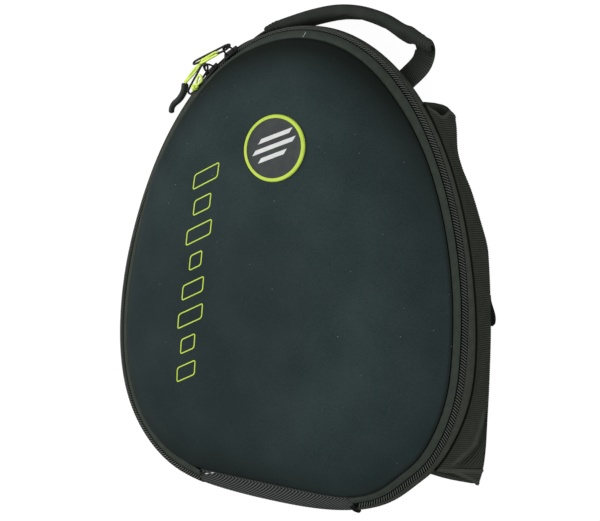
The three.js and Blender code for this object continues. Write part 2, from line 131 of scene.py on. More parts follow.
@dataclass(frozen=True)
class Spline:
    """Smooth line through given points."""

    knots: tuple[tuple[float, ...], ...]
    closed: bool = False

    def at(self, shares: Array) -> Array:
        """Find points on the line.

        Args:
            shares: shares of the way, counted evenly in knots.

        Returns:
            One row for each share.
        """
        points = np.asarray(self.knots, float)
        if self.closed:
            padded = np.vstack((points[-1], points, points[0], points[1]))
            last = len(points)
        else:
            padded = np.vstack((2 * points[0] - points[1], points, 2 * points[-1] - points[-2]))
            last = len(points) - 1
        way = np.clip(np.asarray(shares, float), 0.0, 1.0) * last
        index = np.minimum(way.astype(int), last - 1)
        part = (way - index)[:, None]
        corners = [padded[index + step] for step in range(4)]
        gaps = [
            np.maximum(np.linalg.norm(corners[k + 1] - corners[k], axis=1, keepdims=True) ** 0.5, 1e-6)
            for k in range(3)
        ]
        chords = [(corners[k + 1] - corners[k]) / gaps[k] for k in range(3)]
        spans = [(corners[k + 2] - corners[k]) / (gaps[k] + gaps[k + 1]) for k in range(2)]
        leave = (chords[0] - spans[0] + chords[1]) * gaps[1]
        arrive = (chords[1] - spans[1] + chords[2]) * gaps[1]
        start, end = corners[1], corners[2]
        cubic = 2 * start - 2 * end + leave + arrive
        square = 3 * end - 3 * start - 2 * leave - arrive
        return ((cubic * part + square) * part + leave) * part + start

    def even(self, count: int) -> Array:
        """Find points at equal distances along the line.

        Args:
            count: how many points.

        Returns:
            One row for each point.
        """
        dense = self.at(np.linspace(0.0, 1.0, 60 * len(self.knots)))
        run = run_of(dense)
        marks = np.linspace(0.0, run[-1], count)
        return np.stack([np.interp(marks, run, column) for column in dense.T], axis=1)


@dataclass(frozen=True)
class Rim:
    """Egg-shaped line of the zip, which every other piece is set out from."""

    top_y: float = 184.5
    bottom_y: float = -181.0
    half_width: float = 147.5
    widest_y: float = -48.0
    top_reach: float = 93.0
    upper_reach: float = 100.0
    lower_reach: float = 128.0
    bottom_reach: float = 67.0
    zip_height: float = 40.0
    hinge_right: float = 74.0
    hinge_left: float = 60.0
    hinge_line_y: float = -168.0
    hinge_softness: float = 3.0
    lid_edge_offset: float = -7.9
    lid_edge_rise: float = 6.6
    lid_inset_left: float = 3.5
    lid_inset_upper: float = 1.1
    lid_reach_right: float = 0.8
    lid_reach_left: float = 1.5
    bulges: tuple[Triple, ...] = ((0.578, 2.0, 0.03), (0.384, -2.2, 0.018), (0.31, 1.4, 0.03))
    low_turn: float = 0.295
    low_spread: float = 0.06
    flatter_span: Span = (0.548, 0.575, 0.74, 0.84)
    steeper_span: Span = (0.8, 0.86, 0.9, 0.935)
    top_span: Span = (-0.06, -0.035, 0.03, 0.14)
    upper_span: Span = (-0.08, -0.02, 0.08, 0.15)
    right_span: Span = (0.08, 0.15, 0.28, 0.36)
    upper_left_span: Span = (-0.22, -0.16, -0.08, -0.03)
    span_steps: int = 600

    @cached_property
    def table(self) -> Array:
        """Draw the rim, clockwise from the handle end.

        Returns:
            Rows of turn, x, y and the x and y of the way out.
        """
        wide, mid, low = self.half_width, self.widest_y, self.bottom_y
        spans = (
            ((0, self.top_y), (self.top_reach, self.top_y), (wide, mid + self.upper_reach), (wide, mid)),
            ((wide, mid), (wide, mid - self.lower_reach), (self.bottom_reach, low), (0, low)),
        )
        share = np.linspace(0.0, 1.0, self.span_steps)[:, None]
        rest = 1.0 - share
        drawn = []
        for start, leave, arrive, end in np.array(spans, float):
            drawn.append(
                rest**3 * start + 3 * rest**2 * share * leave + 3 * rest * share**2 * arrive + share**3 * end
            )
        half = np.vstack((drawn[0], drawn[1][1:]))
        line = np.vstack((half, (half[::-1] * (-1.0, 1.0))[1:]))
        run = run_of(line)
        way = unit(np.gradient(line, run, axis=0))
        out = np.stack((-way[:, 1], way[:, 0]), axis=1)
        swell = sum(size * bell(run / run[-1] - turn, width) for turn, size, width in self.bulges)
        line = line + out * swell[:, None]
        run = run_of(line)
        way = unit(np.gradient(line, run, axis=0))
        return np.column_stack((run / run[-1], line, -way[:, 1], way[:, 0]))

    @cached_property
    def length(self) -> float:
        """Length of the whole rim."""
        return float(run_of(self.table[:, 1:3])[-1])

    @property
    def zip_start(self) -> float:
        """Turn at which the zip starts, left of the hinge."""
        return self.hinge_left / self.length - 0.5

    @property
    def zip_end(self) -> float:
        """Turn at which the zip ends, right of the hinge."""
        return 0.5 - self.hinge_right / self.length

    def look(self, turns: Array) -> tuple[Array, Array]:
        """Find places on the rim and the ways out from it, level with the ground.

        Args:
            turns: shares of the way round.

        Returns:
            The places and the ways out, one row for each turn.
        """
        at = np.mod(np.asarray(turns, float), 1.0)
        x, y, out_x, out_y = (np.interp(at, self.table[:, 0], self.table[:, k]) for k in range(1, 5))
        flat = np.zeros_like(x)
        return np.stack((x, y, flat), axis=-1), unit(np.stack((out_x, out_y, flat), axis=-1))

    def point(self, turns: Array, offsets: Array | float, heights: Array | float) -> Array:
        """Find points beside the rim.

        Args:
            turns: shares of the way round.
            offsets: distances out from the rim.
            heights: heights over the ground.

        Returns:
            One row for each turn.
        """
        place, out = self.look(turns)
        shape = place.shape[:-1]
        place = place + out * np.broadcast_to(offsets, shape)[..., None]
        place[..., 2] = np.broadcast_to(heights, shape)
        return place

    @staticmethod
    def signed(turns: Array) -> Array:
        """Count turns from the handle end, with those to its left below nought."""
        return np.mod(np.asarray(turns) + 0.5, 1.0) - 0.5

    def left_share(self, turns: Array) -> Array:
        """Say how far the zip lies flatter, down the left, or steeper, below nought, at the upper left."""
        at = np.mod(turns, 1.0)
        return plateau(at, self.flatter_span) - plateau(at, self.steeper_span)

    def top_share(self, turns: Array) -> Array:
        """Say how far the zip stands steeper, as it does behind the handle."""
        return plateau(self.signed(turns), self.top_span)

    def lid_inset(self, turns: Array) -> Array:
        """Find how far the lid stands back, which leaves the front tape wider there.

        Args:
            turns: shares of the way round.

        Returns:
            One distance for each turn.
        """
        at = self.signed(turns)
        inset = self.lid_inset_left * np.maximum(self.left_share(turns), 0.0)
        inset = inset + self.lid_inset_upper * plateau(at, self.upper_span)
        inset = inset - self.lid_reach_right * plateau(at, self.right_span)
        return inset - self.lid_reach_left * plateau(at, self.upper_left_span)

    def low_share(self, turns: Array) -> Array:
        """Say how far the back tape is wider, as it is low on the right."""
        return bell(np.mod(turns, 1.0) - self.low_turn, self.low_spread)

    def turn_at_y(self, y: Array) -> Array:
        """Find the turn on the right half at a given y."""
        half = self.table[self.table[:, 0] <= 0.5]
        return np.interp(-np.asarray(y, float), -half[:, 2], half[:, 0])

    def turn_at_x(self, x: float) -> float:
        """Find the turn at a given x in the upper right quarter."""
        quarter = self.table[: self.span_steps]
        return float(np.interp(x, quarter[:, 1], quarter[:, 0]))

    def lid_edge(self, turns: Array) -> Array:
        """Find points on the lid's lower edge, which the hinge line cuts straight.

        Args:
            turns: shares of the way round.

        Returns:
            One row for each turn.
        """
        offsets = self.lid_edge_offset - self.lid_inset(turns)
        edge = self.point(turns, offsets, self.zip_height + self.lid_edge_rise)
        over = edge[..., 1] - self.hinge_line_y
        edge[..., 1] = self.hinge_line_y + (over + np.hypot(over, self.hinge_softness)) / 2
        return edge


class Bench:
    """Modelling steps that the pieces share."""

    @staticmethod
    def clear() -> None:
        """Leave object mode on and nothing selected."""
        if bpy.context.mode != "OBJECT":
            bpy.ops.object.mode_set(mode="OBJECT")
        bpy.ops.object.select_all(action="DESELECT")

    @staticmethod
    def pick(piece: Piece) -> None:
        """Select one piece alone.

        Args:
            piece: the piece.
        """
        Bench.clear()
        piece.select_set(True)
        bpy.context.view_layer.objects.active = piece

    @staticmethod
    @contextmanager
    def editing(piece: Piece) -> Iterator[None]:
        """Hold a piece in edit mode, with all of it selected.

        Args:
            piece: the piece.

        Returns:
            A context that leaves edit mode at its end.
        """
        Bench.pick(piece)
        bpy.ops.object.mode_set(mode="EDIT")
        bpy.ops.mesh.select_all(action="SELECT")
        yield
        bpy.ops.object.mode_set(mode="OBJECT")

    @staticmethod
    def read(piece: Piece) -> Array:
        """Read a mesh's points in metres.

        Args:
            piece: the piece.

        Returns:
            One row for each point.
        """
        flat = np.empty(3 * len(piece.data.vertices))
        piece.data.vertices.foreach_get("co", flat)
        return flat.reshape(-1, 3)

    @staticmethod
    def write(piece: Piece, points: Array) -> None:
        """Move a mesh's points, given in metres."""
        piece.data.vertices.foreach_set("co", np.asarray(points, float).ravel())
        piece.data.update()

    @staticmethod
    def named(name: str) -> Piece:
        """Name the piece just made, and put its place and size into its mesh.

        Args:
            name: the piece's name.

        Returns:
            The piece.
        """
        piece = bpy.context.object
        piece.name = name
        piece.data.name = name
        bpy.ops.object.transform_apply(location=True, rotation=True, scale=True)
        return piece

    @staticmethod
    def grid(
        name: str,
        columns: int,
        rows: int,
        place: Place,
        size: Pair,
        painted_light: Place | None = None,
    ) -> Piece:
        """Lay a grid over a surface.

        Args:
            name: the piece's name.
            columns: steps along the surface.
            rows: steps across it.
            place: gives bag points for shares along and across.
            size: length and width in millimetres, for the cloth's own map.
            painted_light: gives the painted shade, nought where it is darkest and one at full light, as in a
                worked surface's valleys and crests.

        Returns:
            The open sheet.
        """
        Bench.clear()
        bpy.ops.mesh.primitive_grid_add(x_subdivisions=columns, y_subdivisions=rows, size=2.0)
        piece = Bench.named(name)
        shares = (Bench.read(piece)[:, :2] + 1.0) / 2.0
        Bench.write(piece, framed(place(shares[:, 0], shares[:, 1])))
        layer = piece.data.uv_layers[0]
        layer.name = CLOTH_MAP
        flat = np.empty(2 * len(layer.data))
        layer.data.foreach_get("uv", flat)
        layer.data.foreach_set("uv", (flat.reshape(-1, 2) * np.array(size) * MM).ravel())
        if painted_light:
            Bench.mark_painted_light(piece, painted_light(shares[:, 0], shares[:, 1]))
        return piece

    @staticmethod
    def mark_painted_light(piece: Piece, values: Array) -> None:
        """Store each point's painted light, nought in full painted shade, for the finishes that have a shade
        tone.
        """
        mark = piece.data.attributes.new(SHADE_ATTRIBUTE, "FLOAT", "POINT")
        mark.data.foreach_set("value", np.clip(values, 0.0, 1.0))

    @staticmethod
    def relief(
        surface: Place,
        height: Callable[[Array, Array, Array], Array],
        step: float = 0.002,
    ) -> Place:
        """Raise a pattern out of a surface.

        Args:
            surface: gives bag points for shares along and across.
            height: gives heights for shares along, across and the points there.
            step: share over which the surface's slope is taken.

        Returns:
            The worked surface, raised away from the bag's middle.
        """

        def raised(along: Array, across: Array) -> Array:
            """Find points of the worked surface.

            Args:
                along: shares along the surface.
                across: shares across it.

            Returns:
                One row for each pair of shares.
            """
            points = surface(along, across)
            ahead, behind = np.minimum(along + step, 1), np.maximum(along - step, 0)
            above, below = np.minimum(across + step, 1), np.maximum(across - step, 0)
            run = surface(ahead, across) - surface(behind, across)
            rise = surface(along, above) - surface(along, below)
            normal = unit(np.cross(run, rise))
            normal *= np.where(np.sum(dot(normal, points - BAG_MIDDLE)) < 0, -1.0, 1.0)
            return points + normal * height(along, across, points)[:, None]

        return raised

    @staticmethod
    def face_out(piece: Piece) -> None:
        """Turn an open sheet's faces away from the bag's middle.

        Args:
            piece: the sheet.
        """
        count = len(piece.data.polygons)
        normals, centres = np.empty(3 * count), np.empty(3 * count)
        piece.data.polygons.foreach_get("normal", normals)
        piece.data.polygons.foreach_get("center", centres)
        outward = centres.reshape(-1, 3) - framed(BAG_MIDDLE)
        if np.sum(normals.reshape(-1, 3) * outward) < 0:
            with Bench.editing(piece):
                bpy.ops.mesh.flip_normals()

    @staticmethod
    def weld(piece: Piece, gap: float = 1e-6) -> None:
        """Join points that meet and turn the faces of a closed mesh outward.

        Args:
            piece: the piece.
            gap: distance in metres under which points are joined.
        """
        with Bench.editing(piece):
            bpy.ops.mesh.remove_doubles(threshold=gap)
            bpy.ops.mesh.normals_make_consistent(inside=False)

    @staticmethod
    def finish(piece: Piece, kind: str, **settings: object) -> None:
        """Add a modifier and apply it.

        Args:
            piece: the piece.
            kind: the modifier's type.
            settings: the modifier's settings.
        """
        Bench.pick(piece)
        modifier = piece.modifiers.new(kind.lower(), kind)
        for key, value in settings.items():
            setattr(modifier, key, value)
        bpy.ops.object.modifier_apply(modifier=modifier.name)

    @staticmethod
    def thicken(piece: Piece, thickness: float, offset: float = -1.0) -> None:
        """Give a sheet its thickness in millimetres, inward unless told otherwise."""
        Bench.finish(piece, "SOLIDIFY", thickness=thickness * MM, offset=offset)

    @staticmethod
    def smooth(piece: Piece, angle: float = 50.0) -> None:
        """Shade faces smooth where they meet at less than an angle in degrees."""
        Bench.pick(piece)
        bpy.ops.object.shade_smooth_by_angle(angle=math.radians(angle))

    @staticmethod
    def sheet(piece: Piece, thickness: float, angle: float = 50.0) -> None:
        """Make a laid grid into cloth.

        Args:
            piece: the open sheet.
            thickness: its thickness in millimetres, inward.
            angle: angle in degrees under which its faces are shaded smooth.
        """
        Bench.face_out(piece)
        Bench.thicken(piece, thickness)
        Bench.smooth(piece, angle)

    @staticmethod
    def frames(line: Array) -> tuple[Array, Array]:
        """Carry a cross way along a line without twisting it.

        Args:
            line: points of the line.

        Returns:
            The way along and the cross way at each point.
        """
        ways = unit(np.gradient(line, axis=0))
        cross = unit(np.cross(ways[0], (0.31, 0.22, 0.93)))
        crosses = []
        for way in ways:
            cross = unit(cross - way * np.dot(cross, way))
            crosses.append(cross)
        return ways, np.array(crosses)

    @staticmethod
    def tube(
        name: str,
        line: Array,
        radii: Array | float,
        sides: int = 10,
        up: Array | None = None,
    ) -> Piece:
        """Draw a round tube along a line.

        Args:
            name: the piece's name.
            line: points in bag millimetres, the first one repeated at the end of a ring.
            radii: radius at each point, or one for all.
            sides: sides of the round.
            up: way out of the plane of a flat ring, for one that closes on itself.

        Returns:
            The tube, closed where its radius falls to nought.
        """
        line = np.asarray(line, float)
        radii = np.broadcast_to(np.asarray(radii, float), len(line))
        ways, crosses = Bench.frames(line)
        if up is not None:
            crosses = np.broadcast_to(unit(up), line.shape)
            ways[0] = ways[-1] = unit(ways[0] + ways[-1])
        seconds = unit(np.cross(ways, crosses))

        def place(along: Array, across: Array) -> Array:
            """Find points of the tube's skin.

            Args:
                along: shares along the line.
                across: shares of the way round.

            Returns:
                One row for each pair of shares.
            """
            index = np.rint(along * (len(line) - 1)).astype(int)
            angle = 2 * math.pi * across[:, None]
            skin = crosses[index] * np.cos(angle) + seconds[index] * np.sin(angle)
            return line[index] + skin * radii[index][:, None]

        size = (float(run_of(line)[-1]), 2 * math.pi * float(radii.max()))
        piece = Bench.grid(name, len(line) - 1, sides, place, size)
        Bench.weld(piece, gap=2e-6)
        return piece

    @staticmethod
    def thread(name: str, line: Array, radius: float, sides: int = 10) -> Piece:
        """Draw a tube of one radius that is closed at both ends.

        Args:
            name: the piece's name.
            line: points in bag millimetres.
            radius: its radius.
            sides: sides of the round.

        Returns:
            The thread.
        """
        radii = np.full(len(line), radius)
        radii[[0, -1]] = 0.0
        return Bench.tube(name, line, radii, sides)

    @staticmethod
    def join(name: str, pieces: Sequence[Piece]) -> Piece:
        """Make one piece of several.

        Args:
            name: its name.
            pieces: the pieces, which are used up.

        Returns:
            The joined piece.
        """
        Bench.clear()
        for piece in pieces:
            piece.select_set(True)
        bpy.context.view_layer.objects.active = pieces[0]
        bpy.ops.object.join()
        return Bench.named(name)

    @staticmethod
    def copies(name: str, model: Piece, origins: Array, axes: Array) -> Piece:
        """Set copies of a small model in a row and make one piece of them.

        Args:
            name: the piece's name.
            model: the model, drawn in metres about its own origin; it is used up.
            origins: bag point of each copy.
            axes: the three ways of each copy, as rows.

        Returns:
            The joined copies.
        """
        shape = Bench.read(model)
        faces = [np.array(face.vertices) for face in model.data.polygons]
        points = np.einsum("ki,mij->mkj", shape, axes) + framed(origins)[:, None, :]
        all_faces = [(face + step * len(shape)).tolist() for step in range(len(origins)) for face in faces]
        mesh = bpy.data.meshes.new(name)
        mesh.from_pydata(points.reshape(-1, 3).tolist(), [], all_faces)
        piece = bpy.data.objects.new(name, mesh)
        bpy.context.scene.collection.objects.link(piece)
        bpy.data.objects.remove(model)
        Bench.smooth(piece, 60.0)
        return piece


class Graph:
    """Adds and joins the nodes of one shader tree."""

    def __init__(self, tree: bpy.types.NodeTree) -> None:
        """Start on an empty tree."""
        self.tree = tree
        tree.nodes.clear()

    def add(self, kind: str, values: dict | None = None, **settings: object) -> bpy.types.Node:
        """Add a node.

        Args:
            kind: the node's type.
            values: what goes into its sockets, a plain value or another node's output.
            settings: the node's own settings.

        Returns:
            The node.
        """
        node = self.tree.nodes.new(kind)
        for key, value in settings.items():
            setattr(node, key, value)
        for key, value in (values or {}).items():
            if isinstance(value, bpy.types.NodeSocket):
                self.tree.links.new(value, node.inputs[key])
            else:
                node.inputs[key].default_value = value
        return node

    def blend(self, share: object, first: object, second: object) -> bpy.types.NodeSocket:
        """Mix two colours, each a value or an output, by a share of the second one."""
        return self.add("ShaderNodeMix", {0: share, 6: first, 7: second}, data_type="RGBA").outputs[2]


class Effects:
    """Shader effects that several finishes share, each one a node group."""

    @staticmethod
    def start(name: str, sockets: Sequence[str], result: str) -> tuple[Graph, bpy.types.Node, bpy.types.Node]:
        """Open a new group that takes a place and some numbers and gives one number.

        Args:
            name: the group's name.
            sockets: names of the numbers it takes.
            result: name of the number it gives.

        Returns:
            Its graph, its input node and its output node.
        """
        tree = bpy.data.node_groups.new(name, "ShaderNodeTree")
        tree.interface.new_socket("Place", in_out="INPUT", socket_type="NodeSocketVector")
        for socket in sockets:
            tree.interface.new_socket(socket, in_out="INPUT", socket_type="NodeSocketFloat")
        tree.interface.new_socket(result, in_out="OUTPUT", socket_type="NodeSocketFloat")
        graph = Graph(tree)
        return graph, graph.add("NodeGroupInput"), graph.add("NodeGroupOutput")

    @staticmethod
    @cache
    def grain(kind: Grain) -> bpy.types.NodeTree:
        """Give the group for a small-scale working of the surface.

        Args:
            kind: the working.

        Returns:
            Its node group.
        """
        graph, taken, given = Effects.start(kind.value, ("Scale",), "Height")
        inputs = {"Vector": taken.outputs["Place"], "Scale": taken.outputs["Scale"]}
        if kind is Grain.PEBBLE:
            noise = graph.add("ShaderNodeTexNoise", inputs | {"Detail": 3.0, "Roughness": 0.6}).outputs[0]
            height = graph.add("ShaderNodeMapRange", {0: noise, 1: 0.3, 2: 0.7}).outputs[0]
        else:
            along, across = (graph.add("ShaderNodeTexWave", inputs, bands_direction=way) for way in "XY")
            crossed = {0: along.outputs["Fac"], 1: across.outputs["Fac"]}
            height = graph.add("ShaderNodeMath", crossed, operation="MULTIPLY").outputs[0]
        graph.tree.links.new(height, given.inputs["Height"])
        return graph.tree

    @staticmethod
    @cache
    def mottle() -> bpy.types.NodeTree:
        """Give the group for slow changes of tone across a surface.

        Returns:
            Its node group.
        """
        graph, taken, given = Effects.start("mottle", ("Scale",), "Value")
        inputs = {"Vector": taken.outputs["Place"], "Scale": taken.outputs["Scale"], "Detail": 4.0}
        noise = graph.add("ShaderNodeTexNoise", inputs)
        spread = graph.add("ShaderNodeMapRange", {0: noise.outputs[0], 1: 0.32, 2: 0.68})
        graph.tree.links.new(spread.outputs[0], given.inputs["Value"])
        return graph.tree

    @staticmethod
    @cache
    def lint() -> bpy.types.NodeTree:
        """Give the group for small specks of dust and fluff.

        Returns:
            Its node group.
        """
        graph, taken, given = Effects.start("lint", ("Scale", "Size", "Share"), "Mask")
        inputs = {"Vector": taken.outputs["Place"], "Scale": taken.outputs["Scale"]}
        cells = graph.add("ShaderNodeTexVoronoi", inputs)
        near = {0: cells.outputs["Distance"], 1: taken.outputs["Size"]}
        speck = graph.add("ShaderNodeMath", near, operation="LESS_THAN")
        split = graph.add("ShaderNodeSeparateColor", {0: cells.outputs["Color"]})
        few = {0: split.outputs[0], 1: taken.outputs["Share"]}
        kept = graph.add("ShaderNodeMath", few, operation="LESS_THAN")
        both = {0: speck.outputs[0], 1: kept.outputs[0]}
        mask = graph.add("ShaderNodeMath", both, operation="MULTIPLY")
        graph.tree.links.new(mask.outputs[0], given.inputs["Mask"])
        return graph.tree


@dataclass(frozen=True)
class Finish:
    """A surface of two close tones with a small-scale working, perhaps with lint on it and a shade tone for
    painted shade.
    """

    name: str
    dark: Colour
    light: Colour
    roughness: float
    shine: float = 0.2
    grain: Grain = Grain.PEBBLE
    pitch: float = 1.0
    depth: float = 0.05
    patch: float = 25.0
    lint_share: float = 0.0
    mapped: bool = True
    # Colour of painted shade, mixed in where the mesh's stored painted light falls to nought.
    shade_tone: Colour | None = None
    lint_pitch: float = 5.0
    lint_size: float = 0.055
    lint_tone: Colour = (0.2, 0.21, 0.2)

    def material(self) -> bpy.types.Material:
        """Give the finish's material, made when it is first asked for.

        Returns:
            The material.
        """
        label = f"{self.name}_dressed"
        found = bpy.data.materials.get(label)
        if found:
            return found
        material = bpy.data.materials.new(label)
        material.use_nodes = True
        graph = Graph(material.node_tree)
        spot = graph.add("ShaderNodeTexCoord").outputs["Object"]
        weave = graph.add("ShaderNodeUVMap", uv_map=CLOTH_MAP).outputs[0] if self.mapped else spot
        wave = 1.0 if self.grain is Grain.PEBBLE else math.pi / 10
        sized = {"Place": weave, "Scale": wave / (self.pitch * MM)}
        grain = graph.add("ShaderNodeGroup", sized, node_tree=Effects.grain(self.grain))
        slow = {"Place": spot, "Scale": 1.0 / (self.patch * MM)}
        mottle = graph.add("ShaderNodeGroup", slow, node_tree=Effects.mottle())
        mixed = {0: grain.outputs[0], 1: mottle.outputs[0]}
        share = graph.add("ShaderNodeMath", mixed, operation="ADD").outputs[0]
        half = graph.add("ShaderNodeMath", {0: share, 1: 0.5}, operation="MULTIPLY").outputs[0]
        colour = graph.blend(half, (*self.dark, 1.0), (*self.light, 1.0))
        # Painted shade: darken towards the shade tone where the mesh's stored painted light is low.
        if self.shade_tone:
            painted_light = graph.add("ShaderNodeAttribute", attribute_name=SHADE_ATTRIBUTE).outputs["Fac"]
            colour = graph.blend(painted_light, (*self.shade_tone, 1.0), colour)
        if self.lint_share:
            specks = {
                "Place": spot,
                "Scale": 1.0 / (self.lint_pitch * MM),
                "Size": self.lint_size,
                "Share": self.lint_share,
            }
            lint = graph.add("ShaderNodeGroup", specks, node_tree=Effects.lint())
            colour = graph.blend(lint.outputs[0], colour, (*self.lint_tone, 1.0))
        bump = graph.add("ShaderNodeBump", {"Height": grain.outputs[0], "Distance": self.depth * MM})
        values = {
            "Base Color": colour,
            "Roughness": self.roughness,
            "Specular IOR Level": self.shine,
            "Normal": bump.outputs[0],
        }
        shader = graph.add("ShaderNodeBsdfPrincipled", values)
        graph.add("ShaderNodeOutputMaterial", {"Surface": shader.outputs[0]})
        return material


# The lid's shade tone is painted shade, laid down its slopes, at its hem and to the low left.
LID_CLOTH = Finish(
    "lid_cloth", (0.0165, 0.0265, 0.0275), (0.033, 0.0475, 0.0485), 0.7, 0.02, pitch=1.3, depth=0.03,
    patch=45.0, lint_share=0.1, mapped=False, shade_tone=(0.0105, 0.0145, 0.0125),
)
FRONT_TAPE = Finish(
    "front_tape", (0.033, 0.041, 0.034), (0.052, 0.061, 0.052), 0.9, 0.02, Grain.WEAVE, 0.7, 0.05, 6.0
)
BACK_TAPE = Finish(
    "back_tape", (0.034, 0.038, 0.031), (0.052, 0.057, 0.048), 0.9, 0.02, Grain.WEAVE, 0.7, 0.05, 6.0
)
COIL = Finish(
    "coil_nylon", (0.050, 0.057, 0.048), (0.076, 0.083, 0.072), 0.4, 0.3, pitch=0.5, depth=0.02, mapped=False
)
# Near black, far below the tapes' tone: painted shade for the shadow in the chain's gaps between its bars.
SHADED_COIL_BED = Finish(
    "shaded_coil_bed", (0.004, 0.005, 0.004), (0.007, 0.008, 0.006), 0.9, 0.02, Grain.WEAVE, 0.7, 0.05
)
# Its shade tone is painted shade in the flaps' valleys, low under the ridge and along the seam.
RIBBED = Finish(
    "ribbed_cloth", (0.044, 0.049, 0.040), (0.068, 0.073, 0.062), 0.85, 0.02, Grain.WEAVE, 0.6, 0.06, 8.0,
    shade_tone=(0.008, 0.009, 0.007),
)
TRAY_CLOTH = Finish(
    "tray_cloth", (0.009, 0.010, 0.009), (0.014, 0.015, 0.013), 0.9, 0.02, Grain.WEAVE, 0.8, 0.06
)
# Its shade tone is painted shade for the herringbone's valleys.
TWILL = Finish(
    "hinge_twill", (0.080, 0.085, 0.083), (0.110, 0.115, 0.112), 0.8, 0.04, Grain.WEAVE, 0.5, 0.05,
    shade_tone=(0.006, 0.007, 0.0065),
)
# Its shade tone is painted shade in the strap's rib valleys and a painted shadow where it leaves the sleeve.
WEBBING = Finish(
    "webbing", (0.052, 0.057, 0.051), (0.072, 0.077, 0.07), 0.85, 0.02, Grain.WEAVE, 0.7, 0.06,
    shade_tone=(0.014, 0.016, 0.014),
)
TAB_WEB = Finish(
    "tab_web", (0.008, 0.009, 0.008), (0.014, 0.015, 0.013), 0.85, 0.02, Grain.WEAVE, 0.7, 0.06
)
SLEEVE_CLOTH = Finish(
    "sleeve_cloth", (0.021, 0.025, 0.021), (0.034, 0.038, 0.033), 0.8, 0.03, pitch=1.0, depth=0.06, patch=12.0
)
STITCHING = Finish(
    "dark_thread", (0.03, 0.034, 0.031), (0.06, 0.065, 0.06), 0.8, 0.05, pitch=0.3, depth=0.05, patch=4.0,
    mapped=False,
)
WHITE_THREAD = Finish(
    "white_thread", (0.5, 0.5, 0.48), (0.7, 0.7, 0.68), 0.8, 0.15, pitch=0.3, depth=0.05, patch=4.0,
    mapped=False,
)
ENAMEL = Finish(
    "black_enamel", (0.004, 0.004, 0.004), (0.007, 0.007, 0.007), 0.45, 0.25, pitch=0.8, depth=0.01,
    mapped=False,
)
NEON_CORD = Finish(
    "neon_cord", (0.60, 0.80, 0.10), (0.80, 0.96, 0.26), 0.7, 0.2, Grain.WEAVE, 0.5, 0.08, 5.0
)
NEON_PRINT = Finish(
    "neon_print", (0.40, 0.55, 0.05), (0.52, 0.68, 0.08), 0.6, 0.2, pitch=0.4, depth=0.02, patch=8.0,
    mapped=False,
)
RUBBER = Finish(
    "grip_rubber", (0.024, 0.030, 0.027), (0.036, 0.042, 0.038), 0.62, 0.15, pitch=0.6, depth=0.03
)
PATCH_FACE = Finish(
    "patch_face", (0.035, 0.041, 0.041), (0.055, 0.061, 0.06), 0.7, 0.15, pitch=0.4, depth=0.04, patch=6.0,
    mapped=False,
)
PATCH_WHITE = Finish(
    "patch_white", (0.55, 0.57, 0.56), (0.7, 0.72, 0.7), 0.7, 0.15, pitch=0.4, depth=0.03, patch=6.0,
    mapped=False,
)


def settle(piece: Piece, finish: Finish, slot: str, *nodes: str) -> Piece:
    """Dress a piece, fix it to the bag and hide the frame nodes that it stands for.

    Args:
        piece: the finished mesh.
        finish: its surface.
        slot: the record's material slot; not used.
        nodes: frame nodes that it stands for.

    Returns:
        The same piece.
    """
    piece.data.materials.clear()
    piece.data.materials.append(finish.material())
    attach(piece, BODY)
    if nodes:
        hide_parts(*nodes)
    LOG.info("%s: %d faces", piece.name, len(piece.data.polygons))
    return piece


